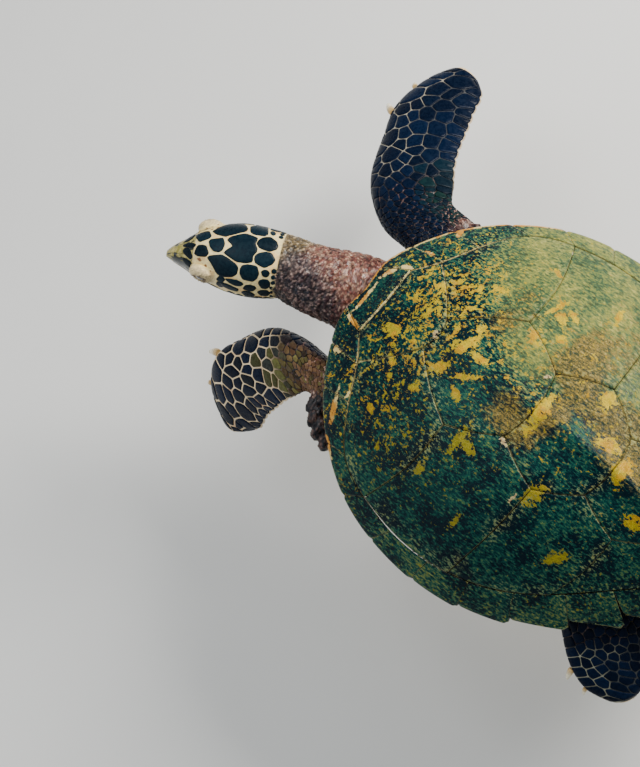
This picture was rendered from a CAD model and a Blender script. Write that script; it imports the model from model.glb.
"""Looks of the life-size hawksbill sea turtle on its display stand.

The shell's frame is x to the turtle's left, y back from the front edge of the nuchal scute and z
up from the level of the shell's rim; to_world moves it into the model's frame. Lengths are metres.
"""

from math import cos, pi, radians, sin

import bpy
import numpy as np
from mathutils import Matrix, Vector


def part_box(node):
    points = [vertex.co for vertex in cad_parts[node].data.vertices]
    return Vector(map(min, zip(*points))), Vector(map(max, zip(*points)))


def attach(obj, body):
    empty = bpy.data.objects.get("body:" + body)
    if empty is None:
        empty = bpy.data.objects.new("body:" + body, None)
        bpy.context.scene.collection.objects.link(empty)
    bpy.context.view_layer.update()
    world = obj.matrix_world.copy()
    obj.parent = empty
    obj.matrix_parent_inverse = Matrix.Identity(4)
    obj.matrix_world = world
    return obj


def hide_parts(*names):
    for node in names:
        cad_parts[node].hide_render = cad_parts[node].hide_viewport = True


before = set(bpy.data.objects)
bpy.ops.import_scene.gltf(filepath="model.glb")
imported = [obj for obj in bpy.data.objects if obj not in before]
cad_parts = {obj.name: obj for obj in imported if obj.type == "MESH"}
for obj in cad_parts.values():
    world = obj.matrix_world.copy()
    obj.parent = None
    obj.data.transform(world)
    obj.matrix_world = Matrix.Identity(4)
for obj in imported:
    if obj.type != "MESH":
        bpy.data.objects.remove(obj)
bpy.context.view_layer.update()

# ---- driving sizes --------------------------------------------------------------------------
SHELL_LENGTH = 0.640
DOME_CENTRE = 0.320
DOME_HEIGHT = 0.135
FRONT_RISE = 0.047
REAR_RISE = 0.010
KEEL = 0.007
SCUTE = 0.006
LAP = 0.0022
BELLY_LEVEL = -0.095
BELLY_PLATE = 0.008
BELLY_TURN_UP = 0.016
RIM_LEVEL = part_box("plastron")[0][2] - BELLY_LEVEL

OUTLINE = ((0.0, 0.003), (0.034, 0.0), (0.082, 0.014), (0.137, 0.046), (0.196, 0.105),
           (0.229, 0.160), (0.2485, 0.235), (0.250, 0.300), (0.229, 0.385), (0.180, 0.465),
           (0.113, 0.535), (0.052, 0.598), (0.0, SHELL_LENGTH))
INNER_BORDER = ((0.052, 0.044), (0.084, 0.069), (0.121, 0.088), (0.152, 0.103), (0.185, 0.127),
                (0.211, 0.182), (0.222, 0.235), (0.222, 0.300), (0.202, 0.375), (0.158, 0.446),
                (0.100, 0.508), (0.047, 0.560), (0.0, 0.596))
BELLY_OUTLINE = ((0.0, 0.078), (0.060, 0.088), (0.108, 0.130), (0.152, 0.200), (0.170, 0.270),
                 (0.166, 0.345), (0.138, 0.420), (0.104, 0.480), (0.064, 0.530), (0.0, 0.556))
MARGINAL_SHARES = (0.049, 0.056, 0.072, 0.068, 0.064, 0.070, 0.066, 0.066, 0.072, 0.066, 0.080, 0.080)
MARGINAL_TEETH = (0, 0, 0, 0, 0, 0.001, 0.003, 0.005, 0.009, 0.013, 0.012, 0.009)
MARGINAL_RIM = 0.006
MARGINAL_ROOT = 0.012
CORNERS = {
    "nuchal_front": (0.034, 0.000), "nuchal_rear": (0.052, 0.044), "apex_1": (0.084, 0.069),
    "rear_1": (0.023, 0.139), "apex_2": (0.083, 0.225), "rear_2": (0.049, 0.297),
    "apex_3": (0.079, 0.362), "rear_3": (0.044, 0.416), "apex_4": (0.063, 0.470),
    "rear_4": (0.030, 0.515), "apex_5": (0.047, 0.560),
}
COSTAL_ENDS = (5.0, 7.35, 9.0)
REAR_BULGE = {0: 0.003, 1: 0.006, 2: 0.010, 3: 0.010, 4: 0.008}
WALL_SLOPE = ((0.0, 0.0), (0.30, 0.10), (0.62, 0.38), (1.0, 0.86))
TRUNK_CLEAR = 0.0030
SKIN_DEPTH = 0.0006         # the skin lies this far inside the solids, under the scales


# ---- curves ---------------------------------------------------------------------------------
def spline(knots, values, at):
    """Natural cubic spline through values (one row for each knot), read at the places in at."""
    knots, values, at = (np.asarray(a, float) for a in (knots, values, at))
    shape = values.shape[1:]
    values = values.reshape(len(knots), -1)
    step = np.diff(knots)
    count = len(knots)
    matrix = np.eye(count)
    right = np.zeros_like(values)
    for i in range(1, count - 1):
        matrix[i, i - 1:i + 2] = step[i - 1], 2 * (step[i - 1] + step[i]), step[i]
        slope_after = (values[i + 1] - values[i]) / step[i]
        slope_before = (values[i] - values[i - 1]) / step[i - 1]
        right[i] = 6 * (slope_after - slope_before)
    bend = np.linalg.solve(matrix, right)
    k = np.clip(np.searchsorted(knots, at.ravel(), side="right") - 1, 0, count - 2)
    h, w = step[k][:, None], (at.ravel() - knots[k])[:, None]
    v = h - w
    cubic = (bend[k] * v ** 3 + bend[k + 1] * w ** 3) / (6 * h)
    before = (values[k] / h - bend[k] * h / 6) * v
    out = cubic + before + (values[k + 1] / h - bend[k + 1] * h / 6) * w
    return out.reshape(at.shape + shape)


def unit(vectors, least=0.0):
    """The vectors along the last axis at length 1; least guards against lengths near 0."""
    return vectors / (np.linalg.norm(vectors, axis=-1, keepdims=True) + least)


def over(under, top, share):
    """Colours or places under, covered by top as far as share says."""
    share = np.asarray(share)[..., None]
    return under * (1 - share) + top * share


def full_turn(count):
    """Angles evenly spaced round a full turn."""
    return np.arange(count) * 2 * pi / count


def chord_knots(points):
    """Running length along a polyline."""
    steps = np.linalg.norm(np.diff(np.asarray(points, float), axis=0), axis=1)
    return np.concatenate(([0.0], np.cumsum(steps)))


def resample(points, count):
    """Evenly spaced points on a polyline."""
    points = np.asarray(points, float)
    knots = chord_knots(points)
    at = np.linspace(0, knots[-1], count)
    return np.stack([np.interp(at, knots, points[:, k]) for k in range(points.shape[1])], -1)


def resample_loop(points, count):
    """Evenly spaced points round a closed outline."""
    return resample(np.vstack([points, points[:1]]), count + 1)[:-1]


def half_curve(points, count):
    """Smooth half outline from the front midline to the rear midline, evenly spaced."""
    both = ((-points[1][0], points[1][1]),) + tuple(points)
    knots = chord_knots(both)
    curve = spline(knots, both, np.linspace(knots[1], knots[-1], count))
    curve[0, 0] = curve[-1, 0] = 0.0
    return curve


RIM = half_curve(OUTLINE, 361)
BELLY = half_curve(BELLY_OUTLINE, 121)
BORDER_KNOTS = chord_knots(INNER_BORDER)


def border_place(index):
    """Running length of the border at a corner, or between two when index is not whole."""
    return float(np.interp(index, range(len(BORDER_KNOTS)), BORDER_KNOTS))


def border_points(start, end, count):
    """Points along the marginals' inner border between two running lengths."""
    return spline(BORDER_KNOTS, INNER_BORDER, np.linspace(start, end, count))


def about_centre(x, y):
    """Bearing (0 at the tail, pi at the head) and distance of plan places from the dome's middle."""
    return np.arctan2(x, y - DOME_CENTRE), np.hypot(x, y - DOME_CENTRE)


def polar(curve):
    """Bearing and radius of a half outline, from the tail to the head."""
    bearing, out = about_centre(*curve.T)
    return bearing[::-1], out[::-1]


RIM_POLAR = polar(RIM)
BELLY_POLAR = polar(BELLY)
BORDER_POLAR = polar(np.vstack(([0.0, 0.047], border_points(0, BORDER_KNOTS[-1], 90))))


def radius(curve_polar, bearing):
    """Radius of a left-right symmetric outline at a bearing."""
    return np.interp(np.arccos(np.cos(bearing)), *curve_polar)


def smooth_step(low, high, value):
    """0 on low's side, 1 on high's side and smooth between; low may be the greater of the two."""
    share = np.clip((np.asarray(value, float) - low) / (high - low), 0, 1)
    return share * share * (3 - 2 * share)


# ---- the shell's surface --------------------------------------------------------------------
def rim_height(bearing):
    """Height of the shell's edge: raised over the neck, and a little over the hind flippers."""
    y = DOME_CENTRE + radius(RIM_POLAR, bearing) * np.cos(bearing)
    front = np.clip(1 - y / 0.27, 0, 1)
    rear = np.clip((y - 0.40) / 0.24, 0, 1)
    return FRONT_RISE * front ** 1.4 + REAR_RISE * np.sin(pi * rear) - 0.004 * rear


def dome(x, y):
    """Height of the carapace at a place in plan."""
    bearing, out = about_centre(x, y)
    out = out / radius(RIM_POLAR, bearing)
    ridge = (0.3 + 0.7 * np.clip(y / 0.30, 0, 1)) * np.clip((y - 0.03) / 0.05, 0, 1)
    keel = KEEL * ridge * np.exp(-(x / 0.017) ** 2)
    return rim_height(bearing) * out ** 2 + DOME_HEIGHT * (1 - out ** 2.2) + keel


def surface_normal(height, x, y, step=0.004):
    """Unit vector out of a height field at a place in plan."""
    slope_x = (height(x + step, y) - height(x - step, y)) / (2 * step)
    slope_y = (height(x, y + step) - height(x, y - step)) / (2 * step)
    return unit(np.stack([-slope_x, -slope_y, np.ones_like(slope_x)], -1))


def on_shell(plan, lift):
    """3-D points at plan places, moved off the carapace's surface by lift along its normal."""
    x, y = plan[:, 0], plan[:, 1]
    surface = np.column_stack([x, y, dome(x, y)])
    return surface + surface_normal(dome, x, y) * np.reshape(lift, (-1, 1))


def belly(x, y):
    """Height of the plastron's underside at a place in plan."""
    bearing, out = about_centre(x, y)
    share = out / radius(BELLY_POLAR, bearing)
    return BELLY_LEVEL + BELLY_TURN_UP * np.clip((share - 0.6) / 0.4, 0, 1.3) ** 2


def wall(bearing, drop):
    """Side of the trunk: drop is 0 under the marginals and 1 at the plastron's edge."""
    border = radius(BORDER_POLAR, bearing) - 0.0008 - SKIN_DEPTH
    edge = radius(BELLY_POLAR, bearing) - 0.004 - SKIN_DEPTH
    inset = np.interp(drop, *np.array(WALL_SLOPE).T)
    wall_top = rim_height(bearing) - MARGINAL_ROOT - 0.001
    edge_top = BELLY_LEVEL + BELLY_PLATE + BELLY_TURN_UP + 0.004
    out = border * (1 - inset) + edge * inset
    return np.stack([out * np.sin(bearing), DOME_CENTRE + out * np.cos(bearing),
                     wall_top + (edge_top - wall_top) * drop], -1)


# ---- noise on points ------------------------------------------------------------------------
HASH_PRIMES = (73856093, 19349663, 83492791)


def scramble(cells, salt):
    """Three repeatable pseudo-random numbers from 0 to 1 for each row of whole numbers."""
    cells = cells.astype(np.int64)
    mixed = cells * HASH_PRIMES
    mixed = mixed[..., 0] ^ mixed[..., 1] ^ mixed[..., 2] ^ (salt * 2654435)
    out = []
    for _ in range(3):
        mixed = (mixed * 1103515245 + 12345) & 0x7FFFFFFF
        mixed = mixed ^ (mixed >> 13)
        out.append((mixed & 0xFFFF) / 65535.0)
    return np.stack(out, -1)


def worley(points, size, salt=1):
    """Distance to the nearest and second nearest seed of a jittered lattice, and the cell's tone."""
    scaled = np.asarray(points) / size
    base = np.floor(scaled)
    first = np.full(len(scaled), 9.0)
    second = np.full(len(scaled), 9.0)
    tone = np.zeros(len(scaled))
    for shift in np.ndindex(3, 3, 3):
        cell = base + np.array(shift) - 1
        jitter = scramble(cell, salt)
        distance = np.linalg.norm(cell + jitter - scaled, axis=-1)
        nearer = distance < first
        second = np.where(nearer, first, np.minimum(second, distance))
        tone = np.where(nearer, jitter[..., 0] * 7.13 % 1.0, tone)
        first = np.where(nearer, distance, first)
    return first, second, tone


def drift(points, size, salt=1):
    """Smooth noise from -1 to 1 with features of about the given size."""
    scaled = np.asarray(points) / size
    base = np.floor(scaled)
    part = scaled - base
    part = part * part * (3 - 2 * part)
    total = np.zeros(len(scaled))
    for shift in np.ndindex(2, 2, 2):
        weight = np.prod(np.where(np.array(shift) == 1, part, 1 - part), axis=-1)
        total += weight * scramble(base + np.array(shift), salt)[..., 0]
    return total * 2 - 1


# ---- meshes ---------------------------------------------------------------------------------
def to_world(points):
    """From the shell's own frame to the model's frame."""
    return np.asarray(points, float) + (0.0, -DOME_CENTRE, RIM_LEVEL)


class Batch:
    """Points, faces and point attributes of one piece, gathered patch by patch."""

    def __init__(self):
        self.points, self.faces, self.fields, self.uvs, self.count = [], [], {}, [], 0

    def add(self, points, faces, uv=None, **fields):
        points = np.asarray(points, float).reshape(-1, 3)
        self.points.append(points)
        self.faces.extend((np.asarray(group) + self.count).tolist() for group in faces)
        for name, value in fields.items():
            value = np.asarray(value, float)
            shape = (len(points),) + value.shape[1:]
            self.fields.setdefault(name, []).append(np.broadcast_to(value, shape))
        if uv is not None:
            self.uvs.append(np.asarray(uv, float).reshape(-1, 2))
        self.count += len(points)

    def build(self, name, finish, nodes=()):
        """One object riding on the model's only body, in place of the CAD nodes it stands for."""
        mesh = bpy.data.meshes.new(name)
        faces = [face for group in self.faces for face in group]
        mesh.from_pydata(to_world(np.concatenate(self.points)).tolist(), [], faces)
        for field, parts in self.fields.items():
            values = np.concatenate(parts)
            kind, key = ("FLOAT_VECTOR", "vector") if values.ndim > 1 else ("FLOAT", "value")
            layer = mesh.attributes.new(field, kind, "POINT")
            layer.data.foreach_set(key, values.ravel().astype(np.float32))
        if self.uvs:
            corner = np.zeros(len(mesh.loops), np.int32)
            mesh.loops.foreach_get("vertex_index", corner)
            layer = mesh.uv_layers.new(name="OFBake")
            layer.data.foreach_set("uv", np.concatenate(self.uvs)[corner].ravel().astype(np.float32))
        mesh.materials.append(finish)
        mesh.shade_smooth()
        piece = linked(name, mesh)
        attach(piece, "root")
        if nodes:
            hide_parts(*nodes)


def linked(name, data):
    """A new object in the scene."""
    made = bpy.data.objects.new(name, data)
    bpy.context.scene.collection.objects.link(made)
    return made


def grid_faces(rows, columns, wrap=False, flip=False):
    """Quads between the points of a grid; wrap joins the last column to the first."""
    index = np.arange(rows * columns).reshape(rows, columns)
    if wrap:
        index = np.column_stack([index, index[:, 0]])
    quads = np.stack([index[:-1, :-1], index[:-1, 1:], index[1:, 1:], index[1:, :-1]], -1)
    return quads.reshape(-1, 4)[:, ::-1 if flip else 1]


def fan(count, middle, start=0, flip=False):
    """Triangles between a ring of points, numbered from start, and the point middle."""
    here, after = start + np.arange(count), start + np.roll(np.arange(count), -1)
    pair = [after, here] if flip else [here, after]
    return np.stack(pair + [np.full(count, middle)], -1)


def web(count, rings):
    """Faces of a plate: rings of points from the outline inwards, a middle point last."""
    return [grid_faces(rings, count, wrap=True), fan(count, rings * count, (rings - 1) * count)]


def plate_layers(outline, centre, shares):
    """Plan points of a plate, its outline drawn in to each share and then its middle; and shares."""
    plan = centre + (outline[None] - centre) * shares[:, None, None]
    plan = np.vstack([plan.reshape(-1, 2), [centre]])
    return plan, np.append(np.repeat(shares, len(outline)), 0.0)


def plate_lifts(lifts, count, height):
    """Lifts of the same points: one for each ring of count points, the last one for the middle."""
    return np.append(np.repeat(lifts[:-1], count), lifts[-1]) * height


def turned(points):
    """The outline, counter-clockwise in its plane."""
    x, y = points[:, 0], points[:, 1]
    area = np.sum(x * np.roll(y, -1) - np.roll(x, -1) * y)
    return points if area > 0 else points[::-1]


def rounded(corners, count, softness=0.5):
    """Closed outline with softened corners: points on a closed quadratic B-spline blend."""
    corners = np.asarray(corners, float)
    start = np.roll(corners, 1, axis=0) * 0.5 + corners * 0.5
    steps = np.linspace(0, 1, 9)[:-1]
    pieces = []
    for first, corner, last in zip(start, corners, np.roll(start, -1, axis=0)):
        a = first + (corner - first) * (1 - softness)
        b = last + (corner - last) * (1 - softness)
        pieces.append(first[None])
        for t in steps:
            pieces.append(((1 - t) ** 2 * a + 2 * t * (1 - t) * corner + t ** 2 * b)[None])
    return resample_loop(np.concatenate(pieces), count)


def shrunk(outline, gap):
    """The outline moved in by about gap, towards its middle."""
    middle = outline.mean(axis=0)
    ahead = np.roll(outline, -1, axis=0) - np.roll(outline, 1, axis=0)
    inward = unit(np.column_stack([-ahead[:, 1], ahead[:, 0]]), 1e-12)
    inward *= np.sign(np.sum(inward * (middle - outline), axis=1, keepdims=True))
    return outline + inward * gap


# ---- finishes -------------------------------------------------------------------------------
class Finish:
    """A procedural material: a Principled shader, and short calls that add nodes to it.

    field reads a point attribute, and noise is cloudy noise. step turns a value into a share, which
    rises from 0 at low to its greatest at high. mix goes from one colour to another by a share.
    """

    def __init__(self, name, **sockets):
        self.material = bpy.data.materials.new(name)
        self.material.use_nodes = True
        self.tree = self.material.node_tree
        self.shader = self.tree.nodes["Principled BSDF"]
        for key, value in sockets.items():
            self.shader.inputs[key.replace("_", " ")].default_value = value

    def node(self, kind, inputs, **settings):
        made = self.tree.nodes.new(kind)
        for key, value in settings.items():
            setattr(made, key, value)
        for key, value in inputs.items():
            if isinstance(value, bpy.types.NodeSocket):
                self.tree.links.new(value, made.inputs[key])
            elif value is not None:
                made.inputs[key].default_value = value
        return made

    def place(self, stretch=(1, 1, 1)):
        """Position in the model's frame, stretched."""
        inputs = {0: self.node("ShaderNodeTexCoord", {}).outputs["Object"], 1: stretch}
        return self.node("ShaderNodeVectorMath", inputs, operation="MULTIPLY").outputs[0]

    def field(self, name, output="Fac"):
        return self.node("ShaderNodeAttribute", {}, attribute_name=name).outputs[output]

    def noise(self, vector, scale, detail=4.0, roughness=0.6, distortion=0.0):
        inputs = {"Vector": vector, "Scale": scale, "Detail": detail, "Roughness": roughness,
                  "Distortion": distortion}
        return self.node("ShaderNodeTexNoise", inputs).outputs["Fac"]

    def step(self, value, low, high, to=1.0):
        inputs = {"Value": value, "From Min": low, "From Max": high, "To Max": to}
        return self.node("ShaderNodeMapRange", inputs, interpolation_type="SMOOTHSTEP").outputs[0]

    def mix(self, share, first, second, blend="MIX"):
        first, second = (colour if isinstance(colour, bpy.types.NodeSocket) else (*colour, 1.0)
                         for colour in (first, second))
        inputs = {0: share, 6: first, 7: second}
        return self.node("ShaderNodeMix", inputs, data_type="RGBA", blend_type=blend).outputs[2]

    def layer(self, base, value, low, high, colour, to=1.0):
        """A colour over the base where value rises from low to high, at most as far as to says."""
        return self.mix(self.step(value, low, high, to), base, colour)

    def times(self, first, second):
        return self.math("MULTIPLY", first, second)

    def toned(self, colour, factors):
        """The colour multiplied by factors for red, green and blue."""
        return self.mix(1.0, colour, factors, "MULTIPLY")

    def math(self, operation, first, second=0.0):
        return self.node("ShaderNodeMath", {0: first, 1: second}, operation=operation).outputs[0]

    def blend(self, *terms):
        """Weighted sum of (socket, weight) pairs."""
        total = None
        for socket, weight in terms:
            part = self.times(socket, weight)
            total = part if total is None else self.math("ADD", total, part)
        return total

    def finish(self, colour, roughness=None, height=None, depth=0.001):
        """Link the colour, the roughness and a bump whose height is in units of depth (metres)."""
        self.tree.links.new(colour, self.shader.inputs["Base Color"])
        if roughness is not None:
            self.tree.links.new(roughness, self.shader.inputs["Roughness"])
        if height is not None:
            bump = self.node("ShaderNodeBump", {"Height": height, "Distance": depth, "Strength": 1.0})
            self.tree.links.new(bump.outputs[0], self.shader.inputs["Normal"])
        return self.material


NAVY = (0.0003, 0.0070, 0.0125)
TEAL = (0.0004, 0.0290, 0.0290)
GREEN = (0.0040, 0.0690, 0.0500)
MOSS = (0.060, 0.120, 0.040)
SAGE = (0.185, 0.205, 0.045)
STRAW = (0.410, 0.380, 0.095)
OLIVE = (0.215, 0.195, 0.014)
AMBER = (0.500, 0.270, 0.010)
YELLOW = (0.580, 0.400, 0.010)
TAN = (0.205, 0.140, 0.032)
CREAM = (0.720, 0.600, 0.260)
MIST_DARK, MIST_PALE = (0.095, 0.130, 0.042), (0.225, 0.215, 0.052)
FILM_DARK, FILM_BROWN, FILM_PALE = (0.020, 0.034, 0.016), (0.110, 0.080, 0.020), (0.36, 0.29, 0.10)
WORN_DARK, WORN_PALE = (0.26, 0.17, 0.08), (0.50, 0.38, 0.19)
SEAM_BROWN = (0.36, 0.28, 0.13)
POWDER = (0.24, 0.26, 0.11)
RIM_ORANGE, RIM_YELLOW = (0.52, 0.23, 0.030), (0.66, 0.50, 0.19)


def horn_finish():
    """Weathered tortoiseshell: navy and teal, ragged amber blotches, algae film and pale seams."""
    f = Finish("shell_horn", Roughness=0.6, Specular_IOR_Level=0.09)
    place = f.place()
    gold, haze, grow = f.field("gold"), f.field("haze"), f.field("grow")
    broad = f.noise(place, 24, 4, 0.6)
    ragged = f.noise(f.place((88, 60, 75)), 1.0, 7, 0.68, 1.0)
    small = f.noise(f.place((260, 190, 230)), 1.0, 5, 0.62, 0.5)
    fine = f.noise(place, 640, 3, 0.65)
    dashes = f.noise(f.place((430, 125, 300)), 1.0, 4, 0.60, 0.5)
    rays = f.noise(f.field("ray", "Vector"), 3.6, 5, 0.62, 0.4)

    # streaky navy and teal, greener and paler in the light and under the haze
    base = f.layer(NAVY, f.blend((broad, 0.4), (small, 0.3), (dashes, 0.3)), 0.455, 0.545, TEAL)
    light = f.blend((dashes, 0.52), (small, 0.26), (broad, 0.22), (haze, 0.082))
    base = f.layer(base, light, 0.510, 0.560, GREEN)
    base = f.layer(base, light, 0.555, 0.620, f.layer(MOSS, haze, 0.10, 0.55, SAGE))
    base = f.layer(base, light, 0.635, 0.690, STRAW)
    misty = f.layer(MIST_DARK, f.blend((broad, 0.5), (ragged, 0.5)), 0.42, 0.60, MIST_PALE)
    base = f.layer(base, haze, 0.50, 1.15, misty, 0.38)

    # gritty brown film of algae
    grit = f.blend((dashes, 0.40), (fine, 0.35), (small, 0.25))
    brown = f.layer(FILM_DARK, grit, 0.45, 0.49, FILM_BROWN)
    brown = f.layer(brown, grit, 0.500, 0.535, TAN)
    brown = f.layer(brown, grit, 0.555, 0.60, FILM_PALE)
    film = f.blend((f.field("algae"), 0.40), (ragged, 0.55), (small, 0.35), (dashes, 0.20))
    film = f.step(film, 0.71, 0.86)
    base = f.mix(f.times(film, 0.92), base, brown)

    # ragged amber patches with crumbs round them
    mass = f.blend((ragged, 0.66), (small, 0.40), (rays, 0.34), (gold, 0.30))
    patch = f.step(mass, 0.828, 0.852)
    crumbs = f.step(f.blend((small, 1.0), (gold, 0.20)), 0.640, 0.665)
    lit = f.math("ADD", f.times(haze, 0.8), f.math("SUBTRACT", broad, 0.35))
    amber = f.layer(f.mix(0.45, OLIVE, YELLOW), lit, 0.00, 0.40, YELLOW)
    amber = f.layer(amber, f.noise(place, 55, 4, 0.6), 0.46, 0.60, AMBER)
    amber = f.mix(f.field("dull"), amber, OLIVE)
    darker = f.toned(amber, (0.42, 0.46, 0.60))
    amber = f.layer(amber, f.blend((fine, 0.5), (small, 0.5)), 0.44, 0.56, darker, 0.60)
    base = f.mix(f.math("MAXIMUM", patch, crumbs), base, amber)

    # scraped places, pale seams, powdery growth near them, and amber on the front rim
    worn = f.blend((f.field("worn"), 0.45), (ragged, 0.6), (small, 0.6))
    base = f.layer(base, worn, 0.90, 0.94, f.layer(WORN_DARK, small, 0.42, 0.58, WORN_PALE))
    edge = f.math("ADD", grow, f.times(f.math("SUBTRACT", small, 0.5), 0.030))
    seam = f.times(f.step(edge, 0.986, 0.995), f.field("seam"))
    broken = f.blend((f.noise(place, 48, 5, 0.7), 0.6), (small, 0.4))
    seam = f.times(seam, f.step(broken, 0.42, 0.50, 0.95))
    base = f.mix(seam, base, f.layer(SEAM_BROWN, small, 0.44, 0.56, CREAM))
    speckled = f.step(f.blend((small, 0.5), (dashes, 0.5)), 0.52, 0.56)
    powder = f.times(f.step(grow, 0.72, 0.98), speckled)
    powder = f.times(powder, f.step(f.noise(place, 19, 3, 0.6), 0.45, 0.56, 0.65))
    base = f.mix(powder, base, POWDER)
    rim = f.blend((f.field("rim"), 0.42), (ragged, 0.7), (small, 0.6))
    base = f.layer(base, rim, 0.86, 0.93, f.layer(RIM_ORANGE, broad, 0.46, 0.54, RIM_YELLOW))
    rings = f.math("SINE", f.times(f.blend((grow, 1.0), (ragged, 0.05)), 95.0))
    height = f.blend((fine, 0.20), (small, 0.45), (dashes, 0.25), (rings, 0.028), (film, 0.10))
    return f.finish(base, f.step(small, 0.2, 0.8, 0.85), height, 0.0012)


def skin_finish():
    """Wrinkled hide: the tint worked out on the mesh, mottled, with fine bump."""
    f = Finish("scaly_skin", Roughness=0.55, Specular_IOR_Level=0.30)
    place = f.place()
    fine = f.noise(place, 520, 4, 0.7)
    soft = f.noise(place, 90, 5, 0.6)
    tint = f.field("tint", "Color")
    tint = f.layer(tint, fine, 0.38, 0.72, f.toned(tint, (0.55, 0.50, 0.50)), 0.50)
    tint = f.layer(tint, soft, 0.35, 0.75, f.toned(tint, (1.35, 1.25, 1.15)), 0.30)
    return f.finish(tint, f.step(soft, 0.1, 0.9, 0.70), f.blend((fine, 0.5), (soft, 0.5)), 0.0006)


def scale_finish():
    """Smooth horny scales, dark with a faint blue-green mottle, or as tinted."""
    f = Finish("horny_scale", Roughness=0.60, Specular_IOR_Level=0.08)
    place = f.place()
    soft = f.noise(place, 190, 6, 0.7)
    fine = f.noise(place, 800, 3, 0.7)
    tint = f.field("tint", "Color")
    tint = f.layer(tint, soft, 0.44, 0.66, f.toned(tint, (1.6, 1.9, 1.6)), 0.6)
    tint = f.layer(tint, fine, 0.62, 0.85, (0.05, 0.09, 0.08), 0.06)
    return f.finish(tint, f.step(soft, 0.1, 0.9, 0.62), f.blend((soft, 0.6), (fine, 0.4)), 0.0004)


def plastron_finish():
    """Pale yellow horn with faint growth lines and brown flecks near the seams."""
    f = Finish("plastron_horn", Roughness=0.42)
    place = f.place()
    soft = f.noise(place, 24, 6, 0.65)
    fine = f.noise(place, 300, 4, 0.7)
    grow = f.field("grow")
    base = f.layer((0.58, 0.42, 0.17), soft, 0.35, 0.70, (0.68, 0.56, 0.32))
    fleck = f.times(f.step(f.noise(place, 46, 6, 0.7), 0.56, 0.66), f.step(grow, 0.35, 1.0, 0.8))
    base = f.mix(fleck, base, (0.16, 0.085, 0.035))
    base = f.layer(base, grow, 0.955, 0.99, (0.30, 0.19, 0.085), 0.75)
    rings = f.math("SINE", f.times(f.blend((grow, 1.0), (soft, 0.08)), 70.0))
    height = f.blend((fine, 0.4), (soft, 0.5), (rings, 0.05))
    return f.finish(base, f.step(fine, 0.1, 0.9, 0.60), height, 0.0006)


def beak_finish():
    """Horn of the beak: yellow with dark streaks that run back from the cutting edge."""
    f = Finish("beak_horn", Roughness=0.32, Coat_Weight=0.2, Coat_Roughness=0.2)
    place = f.place()
    streak = f.noise(f.field("streak", "Vector"), 1.0, 5, 0.6, 0.3)
    soft = f.noise(place, 120, 5, 0.65)
    base = f.layer((0.26, 0.23, 0.040), soft, 0.35, 0.65, (0.52, 0.42, 0.14))
    dark = f.layer((0.006, 0.012, 0.014), soft, 0.4, 0.6, (0.020, 0.024, 0.016))
    base = f.layer(base, f.blend((streak, 0.9), (f.field("shade"), 0.5)), 0.51, 0.60, dark)
    return f.finish(base, f.step(soft, 0.1, 0.9, 0.50), f.blend((streak, 0.5), (soft, 0.5)), 0.0004)


def claw_finish():
    """Pale horn, darker at the claw's root."""
    f = Finish("claw_horn", Roughness=0.35)
    place = f.place()
    soft = f.noise(place, 260, 4, 0.6)
    tint = f.field("tint", "Color")
    base = f.layer(f.toned(tint, (0.82, 0.78, 0.70)), soft, 0.35, 0.65, tint)
    return f.finish(base, f.step(soft, 0.1, 0.9, 0.50), soft, 0.0003)


def eye_finish():
    """Dark brown iris round a black pupil; ring is 0 on the eye's axis and 1 a right angle away."""
    f = Finish("eye", Roughness=0.06, Coat_Weight=1.0, Coat_Roughness=0.03)
    ring = f.field("ring")
    grain = f.noise(f.place(), 900, 4, 0.7)
    iris = f.layer((0.030, 0.014, 0.006), grain, 0.35, 0.65, (0.085, 0.045, 0.016))
    base = f.layer((0.002, 0.002, 0.002), ring, 0.20, 0.24, iris)
    base = f.layer(base, ring, 0.50, 0.62, (0.012, 0.008, 0.006))
    return f.finish(base)


def steel_finish():
    """Satin black powder coat on the stand."""
    f = Finish("stand_steel", Roughness=0.45)
    place = f.place()
    grain = f.noise(place, 1400, 3, 0.6)
    soft = f.noise(place, 16, 4, 0.6)
    base = f.layer((0.020, 0.021, 0.023), soft, 0.3, 0.7, (0.034, 0.035, 0.037))
    return f.finish(base, f.step(soft, 0.0, 1.2, 0.75), grain, 0.00012)


def pad_finish():
    """Dark felt on the pads that carry the plastron."""
    f = Finish("stand_pad", Roughness=0.95, Sheen_Weight=0.5)
    place = f.place()
    fibre = f.noise(f.place((900, 900, 2600)), 1.0, 4, 0.7)
    base = f.layer((0.020, 0.020, 0.022), fibre, 0.35, 0.65, (0.055, 0.055, 0.058))
    return f.finish(base, None, f.blend((fibre, 0.6), (f.noise(place, 500), 0.4)), 0.0005)


HORN, SKIN, SCALE, PLASTRON = horn_finish(), skin_finish(), scale_finish(), plastron_finish()
BEAK, CLAW, EYE, STEEL, FELT = beak_finish(), claw_finish(), eye_finish(), steel_finish(), pad_finish()


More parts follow.
